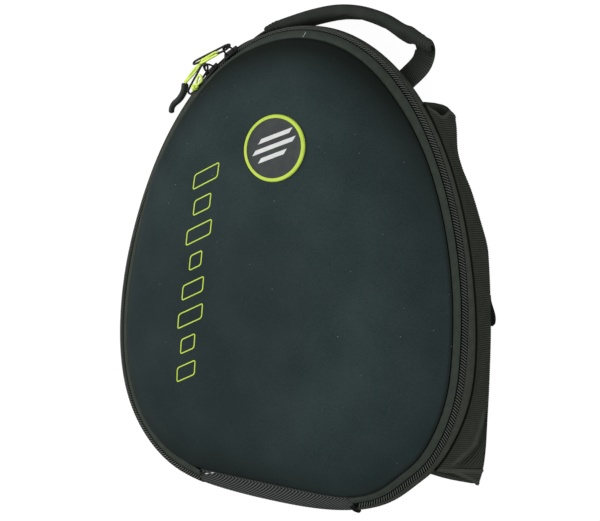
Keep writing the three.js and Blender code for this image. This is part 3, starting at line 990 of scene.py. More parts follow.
@dataclass(frozen=True)
class Lid:
    """Moulded foam dome under smooth cloth."""

    rim: Rim
    centre: Pair = (0.0, -15.0)
    wall: float = 4.0
    half_span: float = 140.0
    lining_from: float = 1.2
    hem: Pairs = ((-3.0, -0.3), (-1.7, -0.5), (-0.8, -0.1), (-0.2, 0.7))
    # Painted shade: these fields darken the cloth down its slopes, strongest towards the handle end, then the
    # front and low left, and in a line at the hem; the side slopes keep more light.
    shade_rise: float = 0.75
    shade_round: float = 0.28
    shade_back: float = 1.05
    shade_front: float = 0.35
    shade_front_left: float = 0.6
    shade_most: float = 1.4
    lit_right: float = 0.16
    lit_left: float = 0.2
    left_shade: float = 0.3
    left_band: Pair = (-70.0, 20.0)
    low_band: Pair = (-70.0, 10.0)
    hem_shadow_band: Pair = (1.0, 3.4)
    around: int = 288
    rings: int = 34
    sections: Pairs = (
        (1.0, 1.6),
        (0.987, 4.6),
        (0.96, 9.6),
        (0.92, 15.2),
        (0.86, 21.6),
        (0.76, 28.4),
        (0.6, 34.3),
        (0.4, 37.8),
        (0.18, 39.4),
    )

    def outer(self) -> Array:
        """Scale and rise of the dome's rings, from its edge to its crown."""
        line = Spline(tuple((self.half_span * scale, rise) for scale, rise in self.sections)).even(self.rings)
        return line / (self.half_span, 1.0)

    def profile(self) -> Array:
        """Scale and rise of every ring, from the lining's crown down to the hem and up the dome.

        Returns:
            One row for each ring.
        """
        outer = self.outer() * (self.half_span, 1.0)
        way = unit(np.gradient(outer, axis=0))
        lining = outer - self.wall * np.abs(way[:, ::-1])
        lining = lining[lining[:, 1] > self.lining_from][::-1]
        hem = np.array(((-self.wall, self.hem[-1][1]), *self.hem)) + (self.half_span, 0.0)
        return np.vstack((lining, hem, outer)) / (self.half_span, 1.0)

    def tone(self, points: Array) -> Array:
        """Give the painted shade on the cloth, darker down the dome's slopes, in a line at the hem and to the
        low left.

        Args:
            points: places in millimetres from the middle of the lid's edge.

        Returns:
            One value for each point, nought where the painted shade is darkest.
        """
        aside = unit(points[:, :2])
        right, left = np.maximum(aside[:, 0], 0.0), np.maximum(-aside[:, 0], 0.0)
        back, front = np.maximum(aside[:, 1], 0.0) ** 2, np.maximum(-aside[:, 1], 0.0) ** 2
        shade = self.shade_round - self.lit_right * right - self.lit_left * left + self.shade_back * back
        shade = shade + (self.shade_front + self.shade_front_left * left) * front
        rise = ease(points[:, 2] / self.sections[-1][1], 0.0, self.shade_rise)
        light = 1.0 - (1.0 - rise) * np.clip(shade, 0.0, self.shade_most)
        low_left = ease(-points[:, 0], *self.left_band) * ease(-points[:, 1], *self.low_band)
        light = light * (1.0 - self.left_shade * low_left)
        return np.clip(light, 0.0, 1.0) * ease(points[:, 2], *self.hem_shadow_band)

    def build(self) -> Piece:
        """Raise the dome ring by ring and close it at both crowns.

        Returns:
            The lid.
        """
        Bench.clear()
        bpy.ops.mesh.primitive_circle_add(vertices=self.around, radius=1.0)
        piece = Bench.named("lid")
        profile = self.profile()
        ring = Bench.read(piece)
        turns = np.arctan2(ring[:, 0], ring[:, 1]) / (2 * math.pi)
        edge = self.rim.lid_edge(turns)
        middle = np.array((*self.centre, edge[0, 2]))
        start = middle + (edge - middle) * (profile[0, 0], profile[0, 0], 1.0)
        start[:, 2] += profile[0, 1]
        Bench.write(piece, framed(start))
        pivot = tuple(framed(middle))
        with Bench.editing(piece):
            bpy.ops.mesh.edge_face_add()
            bpy.ops.mesh.poke()
            bpy.ops.mesh.select_all(action="DESELECT")
            bpy.ops.mesh.select_non_manifold()
            for (scale, rise), (next_scale, next_rise) in zip(profile[:-1], profile[1:]):
                grow = next_scale / scale
                bpy.ops.mesh.extrude_region_move()
                bpy.ops.transform.resize(value=(grow, grow, 1.0), center_override=pivot)
                bpy.ops.transform.translate(value=(0.0, 0.0, (next_rise - rise) * MM))
            bpy.ops.mesh.edge_face_add()
            bpy.ops.mesh.poke()
            bpy.ops.mesh.select_all(action="SELECT")
            bpy.ops.mesh.normals_make_consistent(inside=False)
        # Store the lid's painted shade for its finish's shade tone.
        Bench.mark_painted_light(piece, self.tone(Bench.read(piece) / MM - BAG_SHIFT - middle))
        Bench.smooth(piece, 60.0)
        settle(piece, LID_CLOTH, "lid_cloth", "lid_shell")
        return piece


@dataclass(frozen=True)
class LidMarks:
    """Round patch and a column of hollow slanted bars on the lid."""

    lid: Piece
    patch_y: float = 92.0
    patch_radius: float = 25.0
    patch_thickness: float = 1.2
    ring_width: float = 2.2
    column_x: float = -56.0
    column_top: float = 66.0
    column_lean: float = 0.02
    bar_pitch: float = 21.5
    bar_lengths: tuple[float, ...] = (22.0, 15.0, 22.0, 11.0, 19.0, 22.0, 13.0, 17.0)
    bar_depth: float = 12.0
    bar_slant: float = 0.55
    line_width: float = 0.85
    stripes: Pairs = ((9.0, 24.0), (1.5, 31.0), (-6.0, 20.0))
    stripe_depth: float = 3.4
    stripe_slant: float = 0.45
    stripe_shear: float = 0.6
    stripe_lift: float = 0.05
    stripe_sheet: float = 0.25
    patch_steps: tuple[float, ...] = (0.5, 4.0, 4.0, 4.0, 4.0, 3.0)
    patch_lift: float = 0.25
    patch_sheet: float = 0.5
    edge_width: float = 0.4
    face_margin: float = 0.6
    face_drop: float = 0.35
    bar_corner: float = 2.2
    bar_lift: float = 0.22
    bar_sheet: float = 0.3

    def lay(self, piece: Piece, lift: float) -> None:
        """Drop a flat mesh on the lid and lift it a little, in millimetres.

        Args:
            piece: the flat mesh.
            lift: its height over the lid.
        """
        tree = BVHTree.FromPolygons(
            [vertex.co for vertex in self.lid.data.vertices],
            [face.vertices[:] for face in self.lid.data.polygons],
        )
        points = Bench.read(piece)
        for point in points:
            hit = tree.ray_cast(Vector((point[0], point[1], 1.0)), Vector((0.0, 0.0, -1.0)))[0]
            point[2] = hit.z + lift * MM
        Bench.write(piece, points)

    def patch(self) -> None:
        """Lay the round patch, with a neon ring round a striped face."""
        x, y, _ = framed(np.array((0.0, self.patch_y, 0.0)))
        Bench.clear()
        bpy.ops.mesh.primitive_circle_add(
            vertices=72, radius=self.patch_radius * MM, fill_type="NGON", location=(x, y, 0.0)
        )
        piece = Bench.named("badge_patch")
        with Bench.editing(piece):
            for width in (self.patch_steps[0], self.ring_width, *self.patch_steps):
                bpy.ops.mesh.inset(thickness=width * MM)
            bpy.ops.mesh.poke()
        self.lay(piece, self.patch_lift)
        points = Bench.read(piece)
        reach = np.hypot(points[:, 0] - x, points[:, 1] - y) / MM
        edge = self.patch_radius
        inner = edge - self.ring_width - self.face_margin
        border = self.patch_thickness * ease(-reach, -edge, self.edge_width - edge)
        points[:, 2] += MM * (border - self.face_drop * ease(-reach, -inner, self.face_margin - inner))
        Bench.write(piece, points)
        Bench.sheet(piece, self.patch_sheet, 35.0)
        settle(piece, PATCH_FACE, "patch", "badge")
        piece.data.materials.append(NEON_PRINT.material())
        for face in piece.data.polygons:
            if math.hypot(face.center.x - x, face.center.y - y) > inner * MM:
                face.material_index = 1

    def stripe(self, index: int) -> Piece:
        """Lay one slanted stripe on the patch's face.

        Args:
            index: its place, from the handle end.

        Returns:
            The stripe as a thin sheet.
        """
        lift, length = self.stripes[index]
        Bench.clear()
        bpy.ops.mesh.primitive_grid_add(x_subdivisions=10, y_subdivisions=2, size=2.0)
        piece = Bench.named("patch_stripe")
        shape = Bench.read(piece) * (length / 2, self.stripe_depth / 2, 0.0)
        shape[:, 0] += shape[:, 1] * self.stripe_shear
        shape[:, 1] += shape[:, 0] * self.stripe_slant
        Bench.write(piece, framed(shape + (0.0, self.patch_y + lift, 0.0)))
        self.lay(piece, self.patch_thickness + self.stripe_lift)
        Bench.face_out(piece)
        Bench.thicken(piece, self.stripe_sheet)
        return piece

    def bar(self, index: int, length: float) -> Piece:
        """Draw one hollow slanted bar on the lid.

        Args:
            index: its place in the column, from the handle end.
            length: its length across the column.

        Returns:
            The bar as a thin band.
        """
        down = index * self.bar_pitch
        middle = np.array((self.column_x - down * self.column_lean, self.column_top - down, 0.0))
        Bench.clear()
        bpy.ops.mesh.primitive_plane_add(size=2.0)
        piece = Bench.named("lid_bar")
        corners = Bench.read(piece)
        shape = corners * (length / 2, self.bar_depth / 2, 0.0)
        shape[:, 1] += shape[:, 0] * self.bar_slant
        Bench.write(piece, framed(middle + shape))
        with Bench.editing(piece):
            bpy.ops.mesh.bevel(offset=self.bar_corner * MM, segments=4, affect="VERTICES")
            bpy.ops.mesh.inset(thickness=self.line_width * MM)
            bpy.ops.mesh.delete(type="FACE")
            bpy.ops.mesh.select_all(action="SELECT")
            bpy.ops.mesh.subdivide(number_cuts=3)
        self.lay(piece, self.bar_lift)
        Bench.face_out(piece)
        Bench.thicken(piece, self.bar_sheet)
        return piece

    def build(self) -> None:
        """Lay the patch and the column of bars."""
        self.patch()
        stripes = [self.stripe(index) for index in range(len(self.stripes))]
        settle(Bench.join("patch_stripes", stripes), PATCH_WHITE, "patch")
        bars = [self.bar(index, length) for index, length in enumerate(self.bar_lengths)]
        settle(Bench.join("lid_print", bars), NEON_PRINT, "neon_cord")


@dataclass(frozen=True)
class TapeSection:
    """One strip's line across it: offsets from the rim and rises over the zip."""

    right: Pairs
    left: Pairs
    top: Pairs
    follows_lid: bool = False
    low_growth: Pair = (0.0, 0.0)

    def at(self, across: Array, left: Array, top: Array) -> Array:
        """Find the line's points.

        Args:
            across: shares of the way across.
            left: how far the section is the left side's.
            top: how far the section is the one behind the handle.

        Returns:
            One row of offset and rise for each share.
        """
        usual, flatter, steeper = (Spline(line).at(across) for line in (self.right, self.left, self.top))
        return usual + (flatter - usual) * left[:, None] + (steeper - usual) * top[:, None]


@dataclass(frozen=True)
class Zip:
    """Two woven tapes and a coil chain between them, open at the hinge."""

    rim: Rim
    front: TapeSection = TapeSection(
        right=((-8.1, 6.2), (-7.2, 6.9), (-4.9, 5.4), (-3.1, 3.0), (-2.7, 2.0)),
        left=((-8.1, 6.2), (-7.2, 6.9), (-5.6, 5.2), (-3.7, 2.0), (-3.2, 0.9)),
        top=((-8.1, 6.2), (-7.2, 6.9), (-4.8, 5.7), (-2.6, 3.0), (-2.4, 2.0)),
        follows_lid=True,
    )
    back: TapeSection = TapeSection(
        right=((1.6, -2.4), (3.3, -3.4), (4.1, -6.2), (4.2, -9.3)),
        left=((2.4, -2.3), (3.1, -3.6), (3.5, -6.2), (3.8, -9.3)),
        top=((0.9, -3.2), (1.6, -4.6), (2.0, -6.8), (2.2, -9.3)),
        low_growth=(1.5, -4.5),
    )
    bed: TapeSection = TapeSection(
        right=((-2.55, 1.35), (-0.6, -0.6), (1.35, -2.55)),
        left=((-3.0, 0.35), (-0.3, -0.6), (2.3, -1.85)),
        top=((-2.2, 1.2), (-0.7, -0.8), (0.6, -3.0)),
    )
    tape_thickness: float = 1.4
    bed_thickness: float = 0.8
    tooth: Triple = (3.2, 0.85, 1.0)
    tooth_pitch: float = 2.14
    tooth_slant: float = 34.0
    tooth_droop: float = 12.0
    roll_left: float = 22.0
    roll_top: float = -10.0
    row_offset: float = 1.15
    tooth_round: float = 0.4
    tooth_stagger: float = 0.36
    tooth_sink: float = 0.35
    chain_lean: float = 45.0
    lid_follow: float = 1.3
    map_share: float = 0.86
    columns: int = 420
    rows: int = 8
    thread_line: tuple[Triple, ...] = ((-1.4, 176.2, 47.5), (-0.1, 178.1, 47.5), (0.5, 180.6, 46.2))
    thread_radius: float = 0.14

    def strip(self, name: str, profile: TapeSection, thickness: float) -> Piece:
        """Lay a strip round the rim.

        Args:
            name: the piece's name.
            profile: the strip's line across it.
            thickness: the strip's thickness.

        Returns:
            The solid strip.
        """

        def place(along: Array, across: Array) -> Array:
            """Find points on the strip.

            Args:
                along: shares along the strip.
                across: shares across it.

            Returns:
                One row for each pair of shares.
            """
            turns = self.rim.zip_start + along * (self.rim.zip_end - self.rim.zip_start)
            section = profile.at(across, self.rim.left_share(turns), self.rim.top_share(turns))
            section += (self.rim.low_share(turns) * across)[:, None] * profile.low_growth
            if profile.follows_lid:
                section[:, 0] -= self.rim.lid_inset(turns) * (1.0 - across) ** self.lid_follow
            return self.rim.point(turns, section[:, 0], self.rim.zip_height + section[:, 1])

        width = float(run_of(np.array(profile.right))[-1])
        piece = Bench.grid(name, self.columns, self.rows, place, (self.rim.length * self.map_share, width))
        Bench.sheet(piece, thickness)
        return piece

    def teeth(self) -> Piece:
        """Set the coil's bars in two rows that mesh along the middle.

        Returns:
            All the bars as one piece.
        """
        Bench.clear()
        bpy.ops.mesh.primitive_cube_add(size=1.0)
        model = Bench.named("tooth")
        with Bench.editing(model):
            bpy.ops.transform.resize(value=tuple(length * MM for length in self.tooth))
            bpy.ops.mesh.bevel(offset=self.tooth_round * MM, segments=2)
        count = int((self.rim.zip_end - self.rim.zip_start) * self.rim.length / self.tooth_pitch)
        steps = np.repeat(np.arange(1, count - 1), 2)
        rows = np.tile((-1.0, 1.0), count - 2)
        turns = self.rim.zip_start + (steps + self.tooth_stagger * rows) * self.tooth_pitch / self.rim.length
        place, out = self.rim.look(turns)
        up = np.array((0.0, 0.0, 1.0))
        along = np.cross(out, up)
        roll = self.roll_left * self.rim.left_share(turns) + self.roll_top * self.rim.top_share(turns)
        lean = np.radians(self.chain_lean - roll)[:, None]
        across = out * np.cos(lean) - up * np.sin(lean)
        face = out * np.sin(lean) + up * np.cos(lean)
        slant, droop = math.radians(self.tooth_slant), math.radians(self.tooth_droop)
        side = rows[:, None]
        bar = across * math.cos(slant) + along * math.sin(slant)
        bar = unit(bar * math.cos(droop) - face * side * math.sin(droop))
        thick = unit(np.cross(np.cross(bar, along), bar))
        axes = np.stack((bar, thick, np.cross(bar, thick)), axis=1)
        place[:, 2] = self.rim.zip_height
        origins = place + across * side * self.row_offset - face * self.tooth_sink
        return Bench.copies("zip_teeth", model, origins, axes)

    def stray_thread(self) -> Piece:
        """Leave one short light thread end on the front tape."""
        return Bench.thread("stray_thread", Spline(self.thread_line).even(10), self.thread_radius, 6)

    def build(self) -> None:
        """Lay the tapes, the chain's bed, its teeth and the thread end."""
        tape, bed = self.tape_thickness, self.bed_thickness
        strips = (
            ("front_tape_web", self.front, tape, FRONT_TAPE, "tape", "zip_tape_front"),
            ("back_tape_web", self.back, tape, BACK_TAPE, "tape", "zip_tape_back"),
            ("chain_bed", self.bed, bed, SHADED_COIL_BED, "coil", "zip_chain"),
        )
        for name, profile, thickness, finish, slot, node in strips:
            settle(self.strip(name, profile, thickness), finish, slot, node)
        settle(self.teeth(), COIL, "coil")
        settle(self.stray_thread(), WHITE_THREAD, "tape")


@dataclass(frozen=True)
class Hinge:
    """Herringbone tape that joins lid and back between the zip's two ends."""

    rim: Rim
    gap: float = 0.4
    upper_rise: float = 5.6
    shoulder: Pair = (0.55, 0.4)
    crown: Pair = (-1.2, 0.8)
    bend: Pair = (2.4, -3.2)
    lower: Pair = (4.2, -9.3)
    thickness: float = 1.6
    rib_spacing: float = 2.95
    rib_height: float = 0.3
    upper_lean: float = 1.4
    lower_lean: float = 1.5
    upper_share: float = 0.1
    tape_width: float = 20.0
    row_notch: float = 0.35
    row_notch_width: float = 0.4
    plain_edge: Span = (0.0, 0.06, 0.95, 1.0)
    stitches: Pairs = ((-54.0, 0.17), (-48.6, 0.09))
    stitch_half: Pair = (0.012, 0.03)
    stitch_rise: float = 0.75
    stitch_sag: float = 0.6
    stitch_radius: float = 0.4
    stitch_steps: int = 9
    # Painted shade: shares of the rib height over which the valleys' shade fades to full light on the crests.
    rib_shade_band: Pair = (-0.65, 0.65)
    corner_from: float = 0.972
    corner_size: Pair = (6.0, 9.0)
    corner_shift: Triple = (1.6, -0.8, 1.0)
    corner_droop: float = 1.7
    corner_fall: float = 1.2
    corner_thickness: float = 1.2
    columns: int = 480
    rows: int = 72

    def place(self, along: Array, across: Array) -> Array:
        """Find points on the tape, from left to right and from the lid down.

        Args:
            along: shares along the piece.
            across: shares across it.

        Returns:
            One row for each pair of shares.
        """
        length = self.rim.length
        first = 0.5 + self.rim.hinge_left / length
        last = 0.5 - self.rim.hinge_right / length
        turns = first + along * (last - first)
        base, out = self.rim.look(turns)
        edge = self.rim.lid_edge(turns)
        inset = np.sum((edge - base) * out, axis=1) + self.gap
        profile = np.zeros((5, len(turns), 2))
        profile[0] = np.stack((inset, np.full_like(inset, self.upper_rise)), axis=1)
        profile[2:] = np.array((self.crown, self.bend, self.lower))[:, None, :]
        share = np.array(self.shoulder)
        profile[1] = profile[0] + (profile[2] - profile[0]) * (share[0], 1.0 - share[1])
        steps = np.clip(across, 0.0, 1.0) * 4
        index = np.minimum(steps.astype(int), 3)
        part = (steps - index)[:, None]
        pick = np.arange(len(turns))
        before, start, end, after = (profile[np.clip(index + k, 0, 4), pick] for k in (-1, 0, 1, 2))
        leave, arrive = (end - before) / 2, (after - start) / 2
        section = start + leave * part + (3 * (end - start) - 2 * leave - arrive) * part**2
        section = section + (2 * (start - end) + leave + arrive) * part**3
        return self.rim.point(turns, section[:, 0], self.rim.zip_height + section[:, 1])

    def ribs(self, along: Array, across: Array, points: Array) -> Array:
        """Height of the herringbone at points on the tape.

        Args:
            along: shares along the piece; not used.
            across: shares across it.
            points: bag points there.

        Returns:
            One value for each pair of shares.
        """
        down, turn = across * self.tape_width, self.upper_share * self.tape_width
        lean = np.where(down < turn, (turn - down) * self.upper_lean, (down - turn) * self.lower_lean)
        wave = np.cos(2 * math.pi * (points[:, 0] + lean) / self.rib_spacing)
        row_edge = 1.0 - self.row_notch * bell(down - turn, self.row_notch_width)
        return self.rib_height * wave * row_edge * plateau(across, self.plain_edge)

    def painted_light(self, along: Array, across: Array) -> Array:
        """Give the painted shade in the herringbone's valleys, with full light on its crests."""
        ribs = self.ribs(along, across, self.place(along, across))
        return ease(ribs / self.rib_height, *self.rib_shade_band)

    def stitch(self, x: float, down: float) -> Piece:
        """Sew one short white stitch on the tape.

        Args:
            x: where it is across the bag.
            down: its share of the tape's width.

        Returns:
            The stitch.
        """
        middle = (x + self.rim.hinge_left) / (self.rim.hinge_left + self.rim.hinge_right)
        steps = np.linspace(-1.0, 1.0, self.stitch_steps)
        line = self.place(middle + steps * self.stitch_half[0], down - steps * self.stitch_half[1])
        line[:, 2] += self.stitch_rise - self.stitch_sag * steps**4
        return Bench.thread("hinge_stitch", line, self.stitch_radius, 8)

    def fold_corner(self) -> Piece:
        """Tuck the tape's right end into a small doubled corner below the zip's end.

        Returns:
            The corner.
        """

        def place(along: Array, across: Array) -> Array:
            """Find points on the corner, which droops to a blunt point.

            Args:
                along: shares along the piece.
                across: shares across it.

            Returns:
                One row for each pair of shares.
            """
            shares = self.corner_from + (1.0 - self.corner_from) * along
            corner = self.place(shares, 0.5 + 0.5 * across) + self.corner_shift
            droop = across * np.sin(math.pi * np.clip(along * 0.9 + 0.1, 0, 1))
            corner[:, 1] -= self.corner_droop * droop
            corner[:, 2] -= self.corner_fall * across
            return corner

        piece = Bench.grid("hinge_corner", 14, 10, place, self.corner_size)
        Bench.sheet(piece, self.corner_thickness)
        return piece

    def build(self) -> None:
        """Lay the ribbed tape, its two stitches and its folded corner."""
        surface = Bench.relief(self.place, self.ribs)
        size = (self.rim.hinge_left + self.rim.hinge_right, self.tape_width)
        piece = Bench.grid("hinge_tape", self.columns, self.rows, surface, size, self.painted_light)
        Bench.sheet(piece, self.thickness, 70.0)
        settle(piece, TWILL, "twill", "hinge_panel")
        sewn = Bench.join("hinge_stitches", [self.stitch(x, down) for x, down in self.stitches])
        settle(sewn, WHITE_THREAD, "twill")
        settle(self.fold_corner(), TAB_WEB, "twill")


@dataclass(frozen=True)
class BackTray:
    """Hollow soft tray behind the zip."""

    rim: Rim
    wall: float = 2.6
    map_width: float = 90.0
    sections: Pairs = ((2.0, 30.0), (0.0, 20.0), (-3.0, 11.0), (-8.0, 5.0), (-16.0, 2.7))
    side_share: float = 0.6
    columns: int = 260
    rows: int = 25

    def place(self, along: Array, across: Array) -> Array:
        """Find points on the tray, down its side and then in to the middle of its bottom.

        Args:
            along: shares along the piece.
            across: shares across it.

        Returns:
            One row for each pair of shares.
        """
        section = Spline(self.sections).at(across / self.side_share)
        ring = self.rim.point(along, section[:, 0], section[:, 1])
        inward = 1.0 - np.clip((across - self.side_share) / (1.0 - self.side_share), 0.0, 1.0)
        ring[:, :2] *= inward[:, None]
        return ring

    def build(self) -> None:
        """Raise the tray and give it its thickness."""
        size = (self.rim.length, self.map_width)
        piece = Bench.grid("back_tray", self.columns, self.rows, self.place, size)
        with Bench.editing(piece):
            bpy.ops.mesh.remove_doubles(threshold=1e-6)
        Bench.sheet(piece, self.wall, 60.0)
        settle(piece, TRAY_CLOTH, "ribbed_cloth", "back_shell")


@dataclass(frozen=True)
class Wing:
    """Ribbed cloth flap that is sewn along the rim and folded under the bag."""

    rim: Rim
    side: Side
    bottom_rise: float
    fold: Pairs
    flat: Pair
    ridge: Pairs = ()
    hem_line_y: float | None = None
    seam_rise: float = 0.0
    seam_low: Pair = (0.0, 0.0)
    seam_offset: float = 5.1
    thickness: float = 2.2
    rib_pitch: float = 1.6
    rib_height: float = 0.26
    gusset_pitch: float = 4.6
    gusset_lean: float = 2.4
    gusset_gain: float = 1.6
    gusset_from: Pair = (7.0, 11.0)
    # Painted shade: heights below which the slanted ribs low under the ridge darken.
    gusset_shadow_rise: Pair = (6.0, 12.0)
    gusset_end: Pair = (92.0, 104.0)
    gusset_shade: float = 0.4
    gusset_edge: Pair = (-0.5, 1.0)
    # Painted shade: light where the relief is level and how far it swings, darker in the valleys of ribs,
    # hems and creases.
    relief_shade: Pair = (0.55, 0.45)
    ridge_from: Pair = (3.0, 6.0)
    ridge_ends: Span = (-3.0, 3.0, -4.0, 3.0)
    ridge_size: Pair = (0.4, 1.6)
    groove_size: Pair = (0.25, 2.2)
    groove_drop: float = 4.2
    hem_size: Pair = (0.5, 1.2)
    hem_inset: float = 1.7
    hem_line_shift: float = 2.0
    hem_line_groove: Pair = (0.3, 0.7)
    hem_line_top: Pair = (20.0, 26.0)
    plain_lap: Pair = (0.2, 3.0)
    # Painted shadow: share of the width over which a dark line runs along the seam.
    seam_shadow: float = 0.04
    seam_share: float = 0.24
    slope_step: float = 0.001
    columns: int = 640
    rows: int = 58
    row_marks: tuple[float, ...] = (0.0, 0.19, 0.27, 0.35, 0.45, 0.58, 0.75, 0.81, 0.87, 0.93, 1.0)
    section: tuple[tuple[float, ...], ...] = (
        (0.0, 0.0, 30.6, 131.5, -133.0),
        (0.32, 0.0, 24.5, 128.6, -136.6),
        (0.45, 0.0, 22.0, 127.0, -138.1),
        (0.58, 0.0, 19.2, 127.0, -139.8),
        (0.72, 0.0, 16.0, 128.8, -141.6),
        (0.88, 0.0, 12.0, 131.4, -144.2),
        (1.0, 0.0, 6.5, 128.5, -147.5),
        (1.0, 2.5, 2.0, 129.0, -148.0),
        (1.0, 8.0, 0.0, 134.5, -148.0),
        (1.0, 30.0, 0.0, 136.0, -148.0),
        (1.0, 75.0, 0.0, 128.0, -142.0),
    )

    @property
    def size(self) -> Pair:
        """Length and width of the flat flap in millimetres."""
        return self.flat[1] / MM, self.flat[0] / MM

    def place(self, along: Array, across: Array) -> Array:
        """Find points on the flap, from the handle end down and from the seam in to the lap's edge.

        Args:
            along: shares along the piece.
            across: shares across it.

        Returns:
            One row for each pair of shares.
        """
        marks = np.interp(across, self.row_marks, np.linspace(0.0, 1.0, len(self.row_marks)))
        reach, inward, height, top, bottom = Spline(self.section).at(marks).T
        by_seam = 1.0 - ease(across, 0.0, self.seam_share)
        bottom = bottom + self.bottom_rise
        y = top + along * (bottom - top)
        line = Spline(self.fold).even(400)
        reached = np.interp(y, line[:, 0], line[:, 1])
        turns = self.rim.turn_at_y(y)
        low = by_seam * self.rim.low_share(turns)
        height = np.maximum(height, 0.0) + self.seam_rise * by_seam + self.seam_low[1] * low
        seam = self.rim.point(turns, self.seam_offset + self.seam_low[0] * low, height)
        x = seam[:, 0] + (reached - seam[:, 0]) * reach - inward
        level = seam[:, 1] + (y - seam[:, 1]) * np.minimum(1.0, 2 * reach)
        return np.stack((x * self.side.value, level, height), axis=1)

    def gusset(self, points: Array) -> Array:
        """Say where the slanted ribs under the ridge are.

        Args:
            points: bag points on the flap.

        Returns:
            One value for each point, nought where there are none.
        """
        y, height = points[:, 1], points[:, 2]
        if not self.ridge:
            return np.zeros_like(y)
        line = np.array(self.ridge)
        start = line[0, 0] + np.array(self.ridge_ends[:2])
        below = np.interp(y, line[:, 0], line[:, 1]) - height
        return ease(y, *start) * ease(below, *self.gusset_edge) * ease(-y, *self.gusset_end)

    def ridge_work(self, points: Array, ribs: Array) -> Array:
        """Height that the ridge and the slanted ribs under it add.

        Args:
            points: bag points on the flap.
            ribs: height of the flap's straight ribs there.

        Returns:
            One value for each point.
        """
        y, height = points[:, 1], points[:, 2]
        line = np.array(self.ridge)
        over = height - np.interp(y, line[:, 0], line[:, 1])
        ends = np.array((line[0, 0], line[0, 0], line[-1, 0], line[-1, 0])) + self.ridge_ends
        fade = plateau(y, tuple(ends)) * ease(height, *self.ridge_from)
        turned = np.cos(2 * math.pi * (y + self.gusset_lean * height) / self.gusset_pitch)
        turned = turned * ease(height, *self.gusset_from)
        slanted = self.gusset(points) * (self.gusset_gain * self.rib_height * turned - ribs)
        raised = self.ridge_size[0] * bell(over, self.ridge_size[1])
        sunk = self.groove_size[0] * bell(over + self.groove_drop, self.groove_size[1])
        return slanted + fade * (raised - sunk)

    def work(self, along: Array, across: Array, points: Array) -> Array:
        """Height of the ribs, hems and creases at points on the flap.

        Args:
            along: shares along the piece.
            across: shares across it; not used.
            points: bag points there.

        Returns:
            One value for each point.
        """
        y, height = points[:, 1], points[:, 2]
        ribs = self.rib_height * np.cos(2 * math.pi * y / self.rib_pitch)
        edge = np.minimum(along, 1.0 - along) * self.size[0]
        raised = ribs + self.hem_size[0] * bell(edge - self.hem_inset, self.hem_size[1])
        if self.ridge:
            raised = raised + self.ridge_work(points, ribs)
        if self.hem_line_y is not None:
            beside = y - self.hem_line_y
            fold = self.hem_size[0] * bell(beside + self.hem_line_shift, self.hem_size[1])
            groove = self.hem_line_groove[0] * bell(beside, self.hem_line_groove[1])
            raised = raised + (1.0 - ease(height, *self.hem_line_top)) * (fold - groove)
        return raised

    def wall_work(self, along: Array, across: Array, points: Array) -> Array:
        """Height of the work, which the lap under the bag goes without."""
        return self.work(along, across, points) * ease(points[:, 2], *self.plain_lap)

    def painted_light(self, along: Array, across: Array) -> Array:
        """Give the painted shade on the flap: darker in the valleys of its relief, low under the ridge and
        along the seam.

        Args:
            along: shares along the piece.
            across: shares across it.

        Returns:
            One value for each pair of shares.
        """
        points = self.place(along, across)
        middle, swing = self.relief_shade
        lit = middle + swing * self.work(along, across, points) / self.rib_height
        under = self.gusset(points) * (1.0 - ease(points[:, 2], *self.gusset_shadow_rise))
        return lit * ease(across, 0.0, self.seam_shadow) * (1.0 - self.gusset_shade * under)

    def build(self) -> None:
        side = self.side.name.lower()
        surface = Bench.relief(self.place, self.wall_work, self.slope_step)
        piece = Bench.grid(f"flap_{side}", self.columns, self.rows, surface, self.size, self.painted_light)
        Bench.sheet(piece, self.thickness, 60.0)
        settle(piece, RIBBED, "ribbed_cloth", f"wing_{side}")


@dataclass(frozen=True)
class SideTab:
    """Small woven tab that shows past the right flap's fold."""

    top_y: float = -3.0
    bottom_y: float = -26.0
    root_x: float = 149.0
    top_x: float = 152.6
    bottom_x: float = 158.2
    height: float = 4.4
    thickness: float = 1.4
    swell_to: float = 0.8
    corner_from: float = 0.9
    corner_cut: float = 1.6
    map_size: Pair = (23.0, 9.0)
    edge_round: float = 0.3

    def place(self, along: Array, across: Array) -> Array:
        """Find points on the tab, which stands out more towards its lower end.

        Args:
            along: shares along the piece.
            across: shares across it.

        Returns:
            One row for each pair of shares.
        """
        outer = self.top_x + (self.bottom_x - self.top_x) * ease(along, 0.0, self.swell_to)
        outer = outer - self.corner_cut * ease(along, self.corner_from, 1.0)
        x = self.root_x + across * (outer - self.root_x)
        y = self.top_y + along * (self.bottom_y - self.top_y)
        return np.stack((x, y, np.full_like(x, self.height)), axis=1)

    def build(self) -> None:
        """Lay the tab under the flap's fold."""
        piece = Bench.grid("tab", 24, 8, self.place, self.map_size)
        Bench.face_out(piece)
        Bench.thicken(piece, self.thickness)
        Bench.finish(piece, "BEVEL", width=self.edge_round * MM, segments=2)
        Bench.smooth(piece, 40.0)
        settle(piece, TAB_WEB, "webbing", "side_tab")


